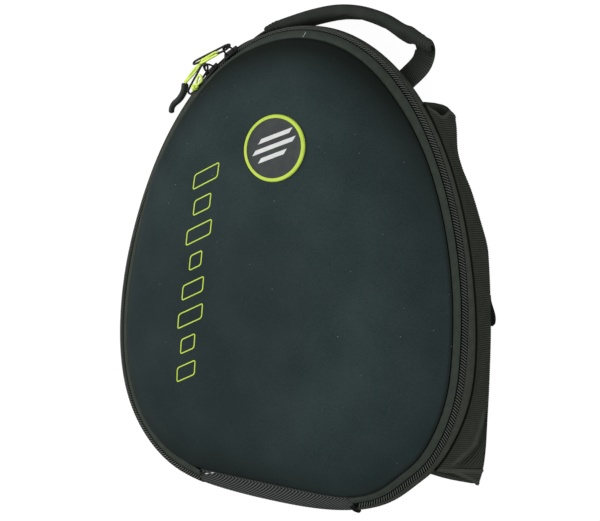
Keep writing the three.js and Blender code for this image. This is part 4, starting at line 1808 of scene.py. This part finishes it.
@dataclass(frozen=True)
class Stuffing:
    """Wadding that fills out a sewn cover."""

    pressure: float = 4.0
    frames: int = 20
    reach: float = 1.3
    quality: int = 6
    mass: float = 0.2

    def fill(self, piece: Piece, held: Array) -> None:
        """Blow a cover out a little from within.

        Args:
            piece: the cover, an open or closed thin mesh.
            held: which of its points stay where they are.
        """
        before = Bench.read(piece)
        group = piece.vertex_groups.new(name="held")
        group.add(np.flatnonzero(held).tolist(), 1.0, "REPLACE")
        Bench.pick(piece)
        modifier = piece.modifiers.new("stuffing", "CLOTH")
        cloth = modifier.settings
        cloth.quality = self.quality
        cloth.mass = self.mass
        cloth.use_pressure = True
        cloth.uniform_pressure_force = self.pressure
        cloth.effector_weights.gravity = 0.0
        cloth.vertex_group_mass = "held"
        modifier.point_cache.frame_start = 1
        modifier.point_cache.frame_end = self.frames
        for frame in range(1, self.frames + 1):
            bpy.context.scene.frame_set(frame)
        bpy.ops.object.modifier_apply(modifier=modifier.name)
        bpy.context.scene.frame_set(1)
        move = Bench.read(piece) - before
        far = np.linalg.norm(move, axis=1, keepdims=True)
        limit = self.reach * MM
        Bench.write(piece, before + move * (limit * np.tanh(far / limit) / np.maximum(far, 1e-9)))
        piece.vertex_groups.clear()


@dataclass(frozen=True)
class Handle:
    """Webbing strap with a padded sleeve round its middle."""

    strap_width: float = 20.0
    strap_thickness: float = 1.5
    rib_pitch: float = 1.4
    rib_height: float = 0.16
    sleeve_width: float = 27.0
    sleeve_depth: float = 9.5
    squareness: float = 3.0
    sleeve_from: float = 0.2
    sleeve_to: float = 0.75
    sleeve_wall: float = 2.0
    end_slant: float = 0.185
    slant_band: Pair = (-0.15, 0.2)
    slant_power: int = 5
    end_narrow: float = 0.15
    narrow_power: int = 9
    straight_to: float = 0.27
    flap_way: Triple = (118.5, -64.7, 4.0)
    tuck: float = 0.75
    tuck_at: float = 0.18
    tuck_spread: float = 0.036
    # Painted shadow: within these distances of the sleeve's mouth the strap darkens, and its ribs sink.
    mouth_shadow: float = 2.2
    mouth_shade: float = 5.5
    end_pinch: float = 0.34
    pinch_length: float = 8.0
    sewn_length: float = 6.0
    sleeve_round: float = 64.0
    strap_steps: tuple[int, int] = (1100, 12)
    sleeve_steps: tuple[int, int] = (84, 36)
    plain_edge: Pair = (0.02, 0.1)
    stitch: Triple = (0.95, 0.36, 0.32)
    stitches_round: int = 24
    stitch_rings: int = 4
    first_ring: float = 2.6
    ring_gap: float = 2.4
    stitch_lean: float = 0.5
    stitch_lift: float = 0.1
    stuffing: Stuffing = Stuffing()
    stations: tuple[tuple[Triple, Triple], ...] = (
        ((74.6, 148.6, 26.2), (0.72, -0.58, 0.38)),
        ((89.0, 165.0, 27.8), (0.86, -0.36, 0.36)),
        ((90.0, 176.4, 28.2), (0.9, -0.1, 0.42)),
        ((83.4, 180.6, 27.2), (0.7, 0.25, 0.7)),
        ((79.0, 182.6, 26.8), (0.6, 0.1, 0.8)),
        ((70.3, 186.3, 26.0), (0.3, 0.1, 0.95)),
        ((56.7, 193.4, 24.0), (0.1, 0.1, 0.99)),
        ((36.0, 199.0, 22.0), (0.0, 0.0, 1.0)),
        ((16.4, 199.4, 19.5), (0.0, 0.0, 1.0)),
        ((-4.0, 195.4, 17.5), (0.0, 0.0, 1.0)),
        ((-24.8, 188.8, 16.2), (0.0, 0.0, 1.0)),
        ((-41.0, 182.6, 16.0), (0.0, 0.0, 1.0)),
        ((-51.8, 175.9, 15.8), (0.0, 0.0, 1.0)),
        ((-60.3, 168.2, 15.5), (0.0, 0.0, 1.0)),
        ((-68.6, 161.4, 15.5), (0.0, 0.0, 1.0)),
        ((-75.0, 155.3, 15.5), (0.0, 0.0, 1.0)),
    )

    def frame(self, shares: Array) -> tuple[Array, Array, Array]:
        """Find the strap's middle line and its ways across and out of its face.

        Args:
            shares: shares of the way along the strap.

        Returns:
            Places, ways across and ways out, one row for each share.
        """
        line = Spline(tuple(place for place, _ in self.stations))
        middle = line.at(shares)
        way = unit(line.at(shares + 0.002) - line.at(shares - 0.002))
        wide = Spline(tuple(wide for _, wide in self.stations)).at(shares)
        wide = unit(wide - way * dot(wide, way))
        return middle, wide, np.cross(way, wide)

    @cached_property
    def length(self) -> float:
        """Length of the strap."""
        return float(run_of(self.frame(np.linspace(0.0, 1.0, 400))[0])[-1])

    @property
    def sleeve_share(self) -> float:
        """Share of the strap that the sleeve covers."""
        return self.sleeve_to - self.sleeve_from

    def strap_flat(self, along: Array, across: Array) -> tuple[Array, Array]:
        """Find points on the strap's middle face and the way out of it.

        Args:
            along: shares along the piece.
            across: shares across it.

        Returns:
            Points and ways out, one row for each pair of shares.
        """
        middle, wide, thick = self.frame(along)
        span = across - 0.5
        tucked = 1.0 - self.tuck * bell(along - self.tuck_at, self.tuck_spread)
        span = np.where(span > 0, span * tucked, span)
        return middle + wide * (span * self.strap_width)[:, None], thick

    def strap_ribs_and_shade(self, along: Array, across: Array) -> Array:
        """Say where the strap's cross ribs have their valleys and crests, with painted shade in the valleys
        and a painted shadow line where the strap leaves the sleeve.

        Args:
            along: shares along the piece.
            across: shares across it.

        Returns:
            One value for each pair of shares.
        """
        marks = np.linspace(0.0, 1.0, 400)
        run = np.interp(along, marks, run_of(self.frame(marks)[0]))
        mouth = self.sleeve(np.zeros(60), np.linspace(0.0, 1.0, 60))
        gap = np.linalg.norm(self.strap_flat(along, across)[0][:, None] - mouth, axis=2).min(axis=1)
        ribs = 0.5 + 0.5 * np.cos(2 * math.pi * run / self.rib_pitch)
        return ribs * ease(gap, self.mouth_shadow, self.mouth_shade)

    def strap(self, along: Array, across: Array) -> Array:
        """Find points on the strap, with its cross ribs.

        Args:
            along: shares along the piece.
            across: shares across it.

        Returns:
            One row for each pair of shares.
        """
        points, thick = self.strap_flat(along, across)
        ribs = self.rib_height * (2 * self.strap_ribs_and_shade(along, across) - 1.0)
        ribs = ribs * ease(np.minimum(across, 1.0 - across), *self.plain_edge)
        return points + thick * ribs[:, None]

    def sleeve(self, along: Array, across: Array) -> Array:
        """Find points on the sleeve's cover, round from its inner edge.

        Args:
            along: shares along the piece.
            across: shares of the way round.

        Returns:
            One row for each pair of shares.
        """
        angle = 2 * math.pi * across
        power = 2.0 / self.squareness
        span = np.sign(np.cos(angle)) * np.abs(np.cos(angle)) ** power * self.sleeve_width / 2
        upper = ease(span / self.sleeve_width, *self.slant_band) - 0.5
        near = 1.0 - np.clip(along, 0.0, 1.0)
        slant = self.end_slant * upper * near**self.slant_power
        narrowed = 1.0 - self.end_narrow * near**self.narrow_power
        span = np.where(span > 0, span * narrowed, span)
        shares = self.sleeve_from + along * self.sleeve_share - slant
        middle, wide, thick = self.frame(np.maximum(shares, self.straight_to))
        middle = middle + np.maximum(self.straight_to - shares, 0.0)[:, None] * self.flap_way
        depth = np.sign(np.sin(angle)) * np.abs(np.sin(angle)) ** power * self.sleeve_depth / 2
        end = np.minimum(along, 1.0 - along) * self.length * self.sleeve_share
        depth = depth * (1.0 - self.end_pinch * bell(end, self.pinch_length))
        return middle + wide * span[:, None] + thick * depth[:, None]

    def end_stitches(self) -> Piece:
        """Sew rings of short stitches round both ends of the sleeve.

        Returns:
            All the stitches as one piece.
        """
        Bench.clear()
        bpy.ops.mesh.primitive_uv_sphere_add(segments=8, ring_count=4, radius=1.0)
        model = Bench.named("stitch")
        with Bench.editing(model):
            bpy.ops.transform.resize(value=tuple(length * MM for length in self.stitch))
        origins, axes = [], []
        run = self.length * self.sleeve_share
        around = self.stitches_round
        for end in (0.0, 1.0):
            for ring in range(self.stitch_rings):
                reach = (self.first_ring + self.ring_gap * ring) / run
                along = np.full(around, abs(end - reach))
                across = (np.arange(around) + 0.5 * (ring % 2)) / around
                point = self.sleeve(along, across)
                ahead = unit(self.sleeve(along + 0.002, across) - point)
                round_way = unit(self.sleeve(along, np.mod(across + 0.004, 1.0)) - point)
                lean = self.stitch_lean if ring % 2 else -self.stitch_lean
                way = unit(ahead + round_way * lean)
                out = unit(np.cross(way, round_way))
                core = self.frame(self.sleeve_from + along * self.sleeve_share)[0]
                out = out * np.sign(dot(out, point - core))
                origins.append(point + out * self.stitch_lift)
                axes.append(np.stack((way, np.cross(out, way), out), axis=1))
        return Bench.copies("sleeve_stitches", model, np.vstack(origins), np.vstack(axes))

    def build(self) -> None:
        """Lay the strap, stuff the sleeve and sew its ends."""
        size = (self.length, self.strap_width)
        strap = Bench.grid("handle_strap_web", *self.strap_steps, self.strap, size, self.strap_ribs_and_shade)
        Bench.thicken(strap, self.strap_thickness, 0.0)
        Bench.smooth(strap, 60.0)
        settle(strap, WEBBING, "webbing", "handle_strap")
        run = self.length * self.sleeve_share
        size = (run, self.sleeve_round)
        cover = Bench.grid("handle_sleeve_cover", *self.sleeve_steps, self.sleeve, size)
        Bench.weld(cover)
        along = np.array([self.nearest(point) for point in Bench.read(cover)])
        self.stuffing.fill(cover, np.minimum(along, 1.0 - along) * run < self.sewn_length)
        Bench.thicken(cover, self.sleeve_wall)
        Bench.finish(cover, "SUBSURF", levels=1, render_levels=1)
        Bench.smooth(cover, 60.0)
        settle(cover, SLEEVE_CLOTH, "sleeve_cloth", "handle_sleeve")
        settle(self.end_stitches(), STITCHING, "sleeve_cloth")

    def nearest(self, point: Array) -> float:
        """Share of the way along the sleeve at which a frame point lies.

        Args:
            point: the point in metres.

        Returns:
            The share.
        """
        shares = np.linspace(0.0, 1.0, 120)
        middle = framed(self.frame(self.sleeve_from + shares * self.sleeve_share)[0])
        return float(shares[np.argmin(np.linalg.norm(middle - point, axis=1))])


@dataclass(frozen=True)
class ZipPull:
    """Slider with a wire puller, a doubled neon cord and a rubber grip."""

    rim: Rim
    letter: str
    slider_x: float
    wire_end: Triple
    wire_face: Triple
    wire_tail: float
    cord: tuple[Triple, ...]
    grip: Pairs
    knot_at: Triple
    bight: tuple[Triple, ...]
    grip_height: float = 3.1
    slider_length: float = 13.0
    slider_front: float = 9.0
    slider_back: float = 7.0
    slider_thickness: float = 2.2
    bail_length: float = 8.5
    bail_height: float = 8.6
    eye_rise: float = 7.4
    wire_width: float = 5.8
    wire_end_width: float = 4.2
    wire_radius: float = 0.85
    wire_round: float = 0.6
    wire_shoulder: float = 3.4
    wire_straight: float = 14.0
    wire_waist: float = 0.96
    near_fullness: float = 0.72
    far_fullness: float = 0.7
    cord_diameter: float = 2.9
    strand_radius: float = 0.96
    strand_gap: float = 0.03
    twist_length: float = 9.0
    twist: float = 0.5
    strand_ends: Pair = (0.4, 0.6)
    strand_parting: float = 1.2
    knot_turns: Pairs = ((-1.3, 0.25), (0.1, -0.2), (1.5, 0.3))
    knot_radius: float = 1.55
    grip_radius: float = 3.0
    grip_round: float = 1.6
    grip_taper: float = 0.2
    slider_rise: float = 0.4
    slider_round: float = 0.75
    bail_ring: float = 3.6
    bail_radius: float = 0.75
    bail_sink: float = 0.4
    bail_cut: float = 0.6

    def seat(self) -> tuple[Array, Array, Array, Array]:
        """Place of the slider on the chain and its ways along, across and out.

        Returns:
            The place and the three ways.
        """
        turn = np.array((-self.rim.turn_at_x(-self.slider_x),))
        place, normal = self.rim.look(turn)
        out = unit(normal[0] + (0.0, 0.0, 1.0))
        along = np.cross((0.0, 0.0, 1.0), normal[0])
        across = np.cross(out, along)
        spot = place[0] + (0.0, 0.0, self.rim.zip_height) + out * self.slider_rise
        return spot, along, across, out

    def slider(self) -> Piece:
        """Model the slider's body and its bail.

        Returns:
            The slider in its place.
        """
        Bench.clear()
        bpy.ops.mesh.primitive_cube_add(size=1.0)
        body = Bench.named("slider_body")
        ahead, aside, above = np.sign(Bench.read(body)).T
        wide = np.where(ahead > 0, self.slider_front, self.slider_back)
        sides = (ahead * self.slider_length, aside * wide, (above + 1.0) * self.slider_thickness)
        Bench.write(body, np.stack(sides, axis=1) / 2 * MM)
        with Bench.editing(body):
            bpy.ops.mesh.bevel(offset=self.slider_round * MM, segments=3)
        Bench.clear()
        bpy.ops.mesh.primitive_torus_add(
            major_segments=28,
            minor_segments=8,
            major_radius=self.bail_ring * MM,
            minor_radius=self.bail_radius * MM,
        )
        bail = Bench.named("slider_bail")
        zero = (0.0, 0.0, 0.0)
        reach = self.bail_ring + self.bail_radius
        grow = (self.bail_length / (2 * reach), 1.0, (self.bail_height - self.bail_radius) / reach)
        with Bench.editing(bail):
            bpy.ops.transform.rotate(value=math.pi / 2, orient_axis="X", center_override=zero)
            bpy.ops.transform.resize(value=grow, center_override=zero)
            bpy.ops.transform.translate(value=(0.0, 0.0, (self.slider_thickness - self.bail_sink) * MM))
            bpy.ops.mesh.bisect(
                plane_co=(0.0, 0.0, (self.slider_thickness - self.bail_cut) * MM),
                plane_no=(0.0, 0.0, 1.0),
                use_fill=True,
                clear_inner=True,
            )
        piece = Bench.join(f"slider_{self.letter}_body", [body, bail])
        spot, *ways = self.seat()
        Bench.write(piece, Bench.read(piece) @ np.stack(ways) + framed(spot))
        Bench.smooth(piece, 40.0)
        return piece

    def wire_frame(self) -> tuple[Array, Array, Array, Array]:
        """Place of the wire's eye and its ways along, to the side and up.

        Returns:
            The place and the three ways.
        """
        spot, _, _, out = self.seat()
        eye = spot + out * self.eye_rise
        way = unit(np.array(self.wire_end) - eye)
        side = unit(np.cross(self.wire_face, way))
        return eye, way, side, np.cross(way, side)

    def wire(self) -> Piece:
        """Bend the wire into a long closed loop.

        Returns:
            The wire.
        """
        eye, way, side, up = self.wire_frame()
        near, far = -self.wire_tail, float(np.linalg.norm(np.array(self.wire_end) - eye))
        half, end = self.wire_width / 2, self.wire_end_width / 2
        flat = (
            (near, 0.0),
            (near + self.wire_round, self.near_fullness * end),
            (near + self.wire_shoulder, half),
            (near + self.wire_straight, half * self.wire_waist),
            (far - self.wire_shoulder, end),
            (far - self.wire_round, self.far_fullness * end),
            (far, 0.0),
        )
        outline = flat + tuple((x, -y) for x, y in flat[-2:0:-1])
        ring = Spline(outline, closed=True).even(73)
        line = eye + ring[:, :1] * way + ring[:, 1:] * side
        piece = Bench.tube(f"pull_wire_{self.letter}_loop", line, self.wire_radius, 10, up)
        Bench.smooth(piece, 70.0)
        return piece

    def hung_cord(self, line: Array) -> Piece:
        """Lay two strands side by side along the cord's line and knot them at the wire.

        Args:
            line: points along the cord's middle.

        Returns:
            The doubled cord with its knot.
        """
        line = np.vstack((line, line[-1] + unit(line[-1] - line[-2]) * ((0.8,), (1.6,))))
        ways, cross = Bench.frames(line)
        level = unit(np.cross(ways, (0.0, 0.0, 1.0)))
        run = run_of(line)
        twist = np.sin(run / self.twist_length)[:, None] * self.twist
        beside = unit(level + np.cross(ways, level) * twist)
        free = np.minimum(run + self.strand_ends[0], run[-1] - run + self.strand_ends[1])
        spread = (self.strand_radius + self.strand_gap) * ease(free, 0.0, self.strand_parting)
        aside = beside * spread[:, None]
        strands = [Bench.thread("strand", line + aside * sign, self.strand_radius) for sign in (-1.0, 1.0)]
        nearest = int(np.argmin(np.linalg.norm(line - np.array(self.knot_at), axis=1)))
        angle = np.linspace(0.0, 2 * math.pi, 25)[:, None]
        for shift, tilt in self.knot_turns:
            way = unit(ways[nearest] + cross[nearest] * tilt)
            first = unit(np.cross(way, (0.2, 0.3, 0.9)))
            second = np.cross(way, first)
            middle = line[nearest] + way * shift
            ring = middle + (first * np.cos(angle) + second * np.sin(angle)) * self.knot_radius
            strands.append(Bench.tube("knot_turn", ring, self.strand_radius, 10, way))
        piece = Bench.join(f"pull_cord_{self.letter}_strands", strands)
        Bench.smooth(piece, 70.0)
        return piece

    def hitch(self) -> Piece:
        """Lay the turn of cord that is hitched over the wire.

        Returns:
            The hitch.
        """
        line = Spline(self.bight).even(40)
        piece = Bench.thread(f"pull_hitch_{self.letter}", line, self.strand_radius)
        Bench.smooth(piece, 70.0)
        return piece

    def rubber(self) -> Piece:
        """Mould the soft grip on the cord's end.

        Returns:
            The grip.
        """
        line = Spline(tuple((x, y, self.grip_height) for x, y in self.grip)).even(40)
        run = run_of(line)
        end = np.minimum(run, run[-1] - run)
        near_end = np.clip(1.0 - end / self.grip_round, 0, 1)
        radii = self.grip_radius * np.sqrt(np.clip(1.0 - near_end**2, 0.0, 1.0))
        radii = radii * (1.0 - self.grip_taper * ease(run / run[-1], 0.1, 1.0))
        piece = Bench.tube(f"pull_grip_{self.letter}_rubber", line, radii, 16)
        Bench.smooth(piece, 60.0)
        return piece

    def build(self) -> None:
        """Make and dress the slider, the wire, the grip and the cord with its hitch."""
        letter = self.letter
        settle(self.slider(), ENAMEL, "black_metal", f"slider_{letter}")
        settle(self.wire(), ENAMEL, "black_metal", f"pull_wire_{letter}")
        grip = settle(self.rubber(), RUBBER, "rubber", f"pull_grip_{letter}")
        line = Spline(self.cord).even(70)
        cord = settle(self.hung_cord(line), NEON_CORD, "neon_cord", f"pull_cord_{letter}")
        bight = settle(self.hitch(), NEON_CORD, "neon_cord")
        path = framed(line)


@dataclass(frozen=True)
class Studio:
    """Pale floor, soft light and the camera of a plain product picture."""

    turn: float = 25.292
    dip: float = 5.659
    roll: float = -5.048
    shift_right: float = 9.07
    shift_up: float = 6.16
    distance: float = 1079.26
    aim_height: float = 40.0
    lens: float = 84.0
    sensor: float = 36.0
    floor_glow: float = 0.95
    floor_spill: float = 0.3
    floor_size: float = 8.0
    floor_drop: float = 0.0003
    floor_tone: Colour = (0.1, 0.1, 0.1)
    farthest: float = 20.0
    sky: float = 0.6
    lamps: tuple[tuple[str, Triple, float, float], ...] = (
        ("key", (-1.45, 0.1, 1.1), 0.9, 22.0),
        ("fill", (1.5, 0.1, 1.05), 0.7, 11.0),
    )

    def camera(self) -> None:
        """Set the camera over the bag, a little to its right."""
        al, ep, ro = (math.radians(angle) for angle in (self.turn, self.dip, self.roll))
        back = np.array((math.sin(al) * math.cos(ep), math.sin(ep), math.cos(al) * math.cos(ep)))
        right = np.array((math.cos(al), 0.0, -math.sin(al)))
        up = np.cross(back, right)
        right, up = math.cos(ro) * right - math.sin(ro) * up, math.sin(ro) * right + math.cos(ro) * up
        spot = framed(
            self.distance * back + self.shift_right * right + self.shift_up * up + (0.0, 0.0, self.aim_height)
        )
        Bench.clear()
        bpy.ops.object.camera_add()
        camera = bpy.context.object
        matrix = Matrix.Identity(4)
        for column, vector in enumerate((right, up, back, spot)):
            for row in range(3):
                matrix[row][column] = vector[row]
        camera.matrix_world = matrix
        camera.data.lens = self.lens
        camera.data.sensor_width = self.sensor
        camera.data.clip_end = self.farthest
        bpy.context.scene.camera = camera

    def floor(self) -> None:
        """Lay a wide pale floor under the bag."""
        Bench.clear()
        bpy.ops.mesh.primitive_plane_add(size=self.floor_size, location=(0.0, 0.0, -self.floor_drop))
        floor = Bench.named("floor")
        material = bpy.data.materials.new("pale_floor")
        material.use_nodes = True
        graph = Graph(material.node_tree)
        seen = graph.add("ShaderNodeLightPath").outputs["Is Camera Ray"]
        glow = graph.add("ShaderNodeMapRange", {0: seen, 3: self.floor_spill, 4: self.floor_glow})
        values = {
            "Base Color": (*self.floor_tone, 1.0),
            "Roughness": 0.95,
            "Specular IOR Level": 0.0,
            "Emission Color": (1.0, 1.0, 1.0, 1.0),
            "Emission Strength": glow.outputs[0],
        }
        shader = graph.add("ShaderNodeBsdfPrincipled", values)
        graph.add("ShaderNodeOutputMaterial", {"Surface": shader.outputs[0]})
        floor.data.materials.append(material)

    def lamp(self, name: str, place: Triple, size: float, power: float) -> None:
        """Hang a square soft lamp that faces the bag.

        Args:
            name: the lamp's name.
            place: where it hangs, in metres.
            size: the length of its side in metres.
            power: its power in watts.
        """
        Bench.clear()
        bpy.ops.object.light_add(type="AREA", location=place)
        lamp = bpy.context.object
        lamp.name = name
        lamp.data.shape = "SQUARE"
        lamp.data.size = size
        lamp.data.energy = power
        lamp.rotation_euler = (-Vector(place)).to_track_quat("-Z", "Y").to_euler()

    def build(self) -> None:
        """Set up floor, light and camera."""
        scene = bpy.context.scene
        scene.view_settings.view_transform = "Standard"
        world = scene.world or bpy.data.worlds.new("studio")
        scene.world = world
        world.use_nodes = True
        graph = Graph(world.node_tree)
        sky = graph.add("ShaderNodeBackground", {"Color": (1.0, 1.0, 1.0, 1.0), "Strength": self.sky})
        graph.add("ShaderNodeOutputWorld", {"Surface": sky.outputs[0]})
        self.floor()
        for lamp in self.lamps:
            self.lamp(*lamp)
        self.camera()


RIGHT_FOLD = (
    (-150.0, 157.5), (-136.0, 160.5), (-120.0, 161.2), (-104.0, 160.6), (-66.0, 158.6),
    (-29.0, 155.8), (-4.0, 152.8), (20.0, 149.2), (33.0, 146.6), (53.0, 138.6),
    (73.5, 129.6), (90.0, 120.6), (102.0, 116.0), (121.0, 112.8), (140.0, 107.0),
)
LEFT_FOLD = (
    (-150.0, 133.0), (-136.0, 141.0), (-120.0, 149.0), (-90.0, 157.0), (-64.0, 159.3),
    (-37.0, 157.0), (8.0, 150.0), (29.0, 147.0), (51.0, 137.0), (72.0, 127.0),
    (90.0, 118.0), (110.0, 113.0), (140.0, 108.0),
)
CORD_A = (
    (-77.0, 159.5, 44.0), (-83.0, 156.0, 43.9), (-88.3, 152.8, 43.2), (-92.5, 151.0, 39.6),
    (-101.0, 147.6, 30.5), (-110.0, 144.0, 20.5), (-119.0, 140.4, 10.5), (-124.4, 138.2, 4.6),
    (-126.4, 136.9, 3.0),
)
CORD_B = (
    (-90.4, 135.2, 44.8), (-92.4, 133.4, 43.8), (-94.4, 132.4, 42.2), (-97.6, 131.4, 38.4),
    (-100.6, 130.1, 32.4), (-104.0, 127.4, 25.0), (-109.0, 121.8, 16.0), (-114.5, 113.5, 8.0),
    (-120.0, 104.6, 4.0), (-122.6, 99.4, 3.0),
)
BIGHT_A = (
    (-87.6, 152.0, 45.2), (-81.5, 155.2, 46.4), (-76.4, 157.8, 47.0), (-73.8, 159.4, 46.6),
    (-73.2, 160.8, 45.0), (-75.6, 160.8, 45.4), (-82.3, 157.0, 46.4), (-88.0, 153.9, 45.4),
)
BIGHT_B = (
    (-92.0, 133.8, 44.4), (-88.6, 136.0, 45.6), (-86.4, 138.4, 46.0), (-87.2, 141.2, 46.0),
    (-89.8, 142.2, 44.0), (-91.8, 140.0, 43.2), (-92.8, 134.6, 43.4),
)
GRIP_A = (
    (-126.4, 136.6), (-126.9, 129.6), (-130.6, 122.9), (-135.6, 118.2), (-137.3, 114.6), (-137.3, 110.4),
)
GRIP_B = ((-123.0, 98.1), (-125.0, 92.0), (-128.0, 86.0), (-130.5, 79.0), (-133.0, 72.0))
RIDGE = ((-131.0, 25.0), (-114.0, 16.5), (-89.0, 12.0))


def main() -> None:
    """Build the bag's pieces in order."""
    logging.basicConfig(level=logging.INFO, format="%(name)s %(message)s")
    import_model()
    rim = Rim()
    Studio().build()
    ZipPull(
        rim,
        letter="a",
        slider_x=-64.5,
        wire_end=(-97.3, 151.3, 42.0),
        wire_face=(-0.44, 0.55, 0.71),
        wire_tail=4.5,
        cord=CORD_A,
        grip=GRIP_A,
        knot_at=(-88.3, 152.8, 43.2),
        bight=BIGHT_A,
    ).build()
    ZipPull(
        rim,
        letter="b",
        slider_x=-80.0,
        wire_end=(-103.7, 127.7, 34.0),
        wire_face=(0.35, 0.2, 0.9),
        wire_tail=1.5,
        cord=CORD_B,
        grip=GRIP_B,
        knot_at=(-93.8, 132.6, 42.8),
        bight=BIGHT_B,
    ).build()
    lid = Lid(rim).build()
    LidMarks(lid).build()
    Zip(rim).build()
    Hinge(rim).build()
    BackTray(rim).build()
    Wing(
        rim,
        Side.RIGHT,
        bottom_rise=0.0,
        fold=RIGHT_FOLD,
        flat=(0.122, 0.285),
        ridge=RIDGE,
        hem_line_y=-133.8,
        seam_rise=4.2,
        seam_low=(1.5, -4.5),
    ).build()
    Wing(rim, Side.LEFT, bottom_rise=24.0, fold=LEFT_FOLD, flat=(0.122, 0.262), columns=560, rows=40).build()
    SideTab().build()
    Handle().build()


if __name__ == "__main__":
    main()
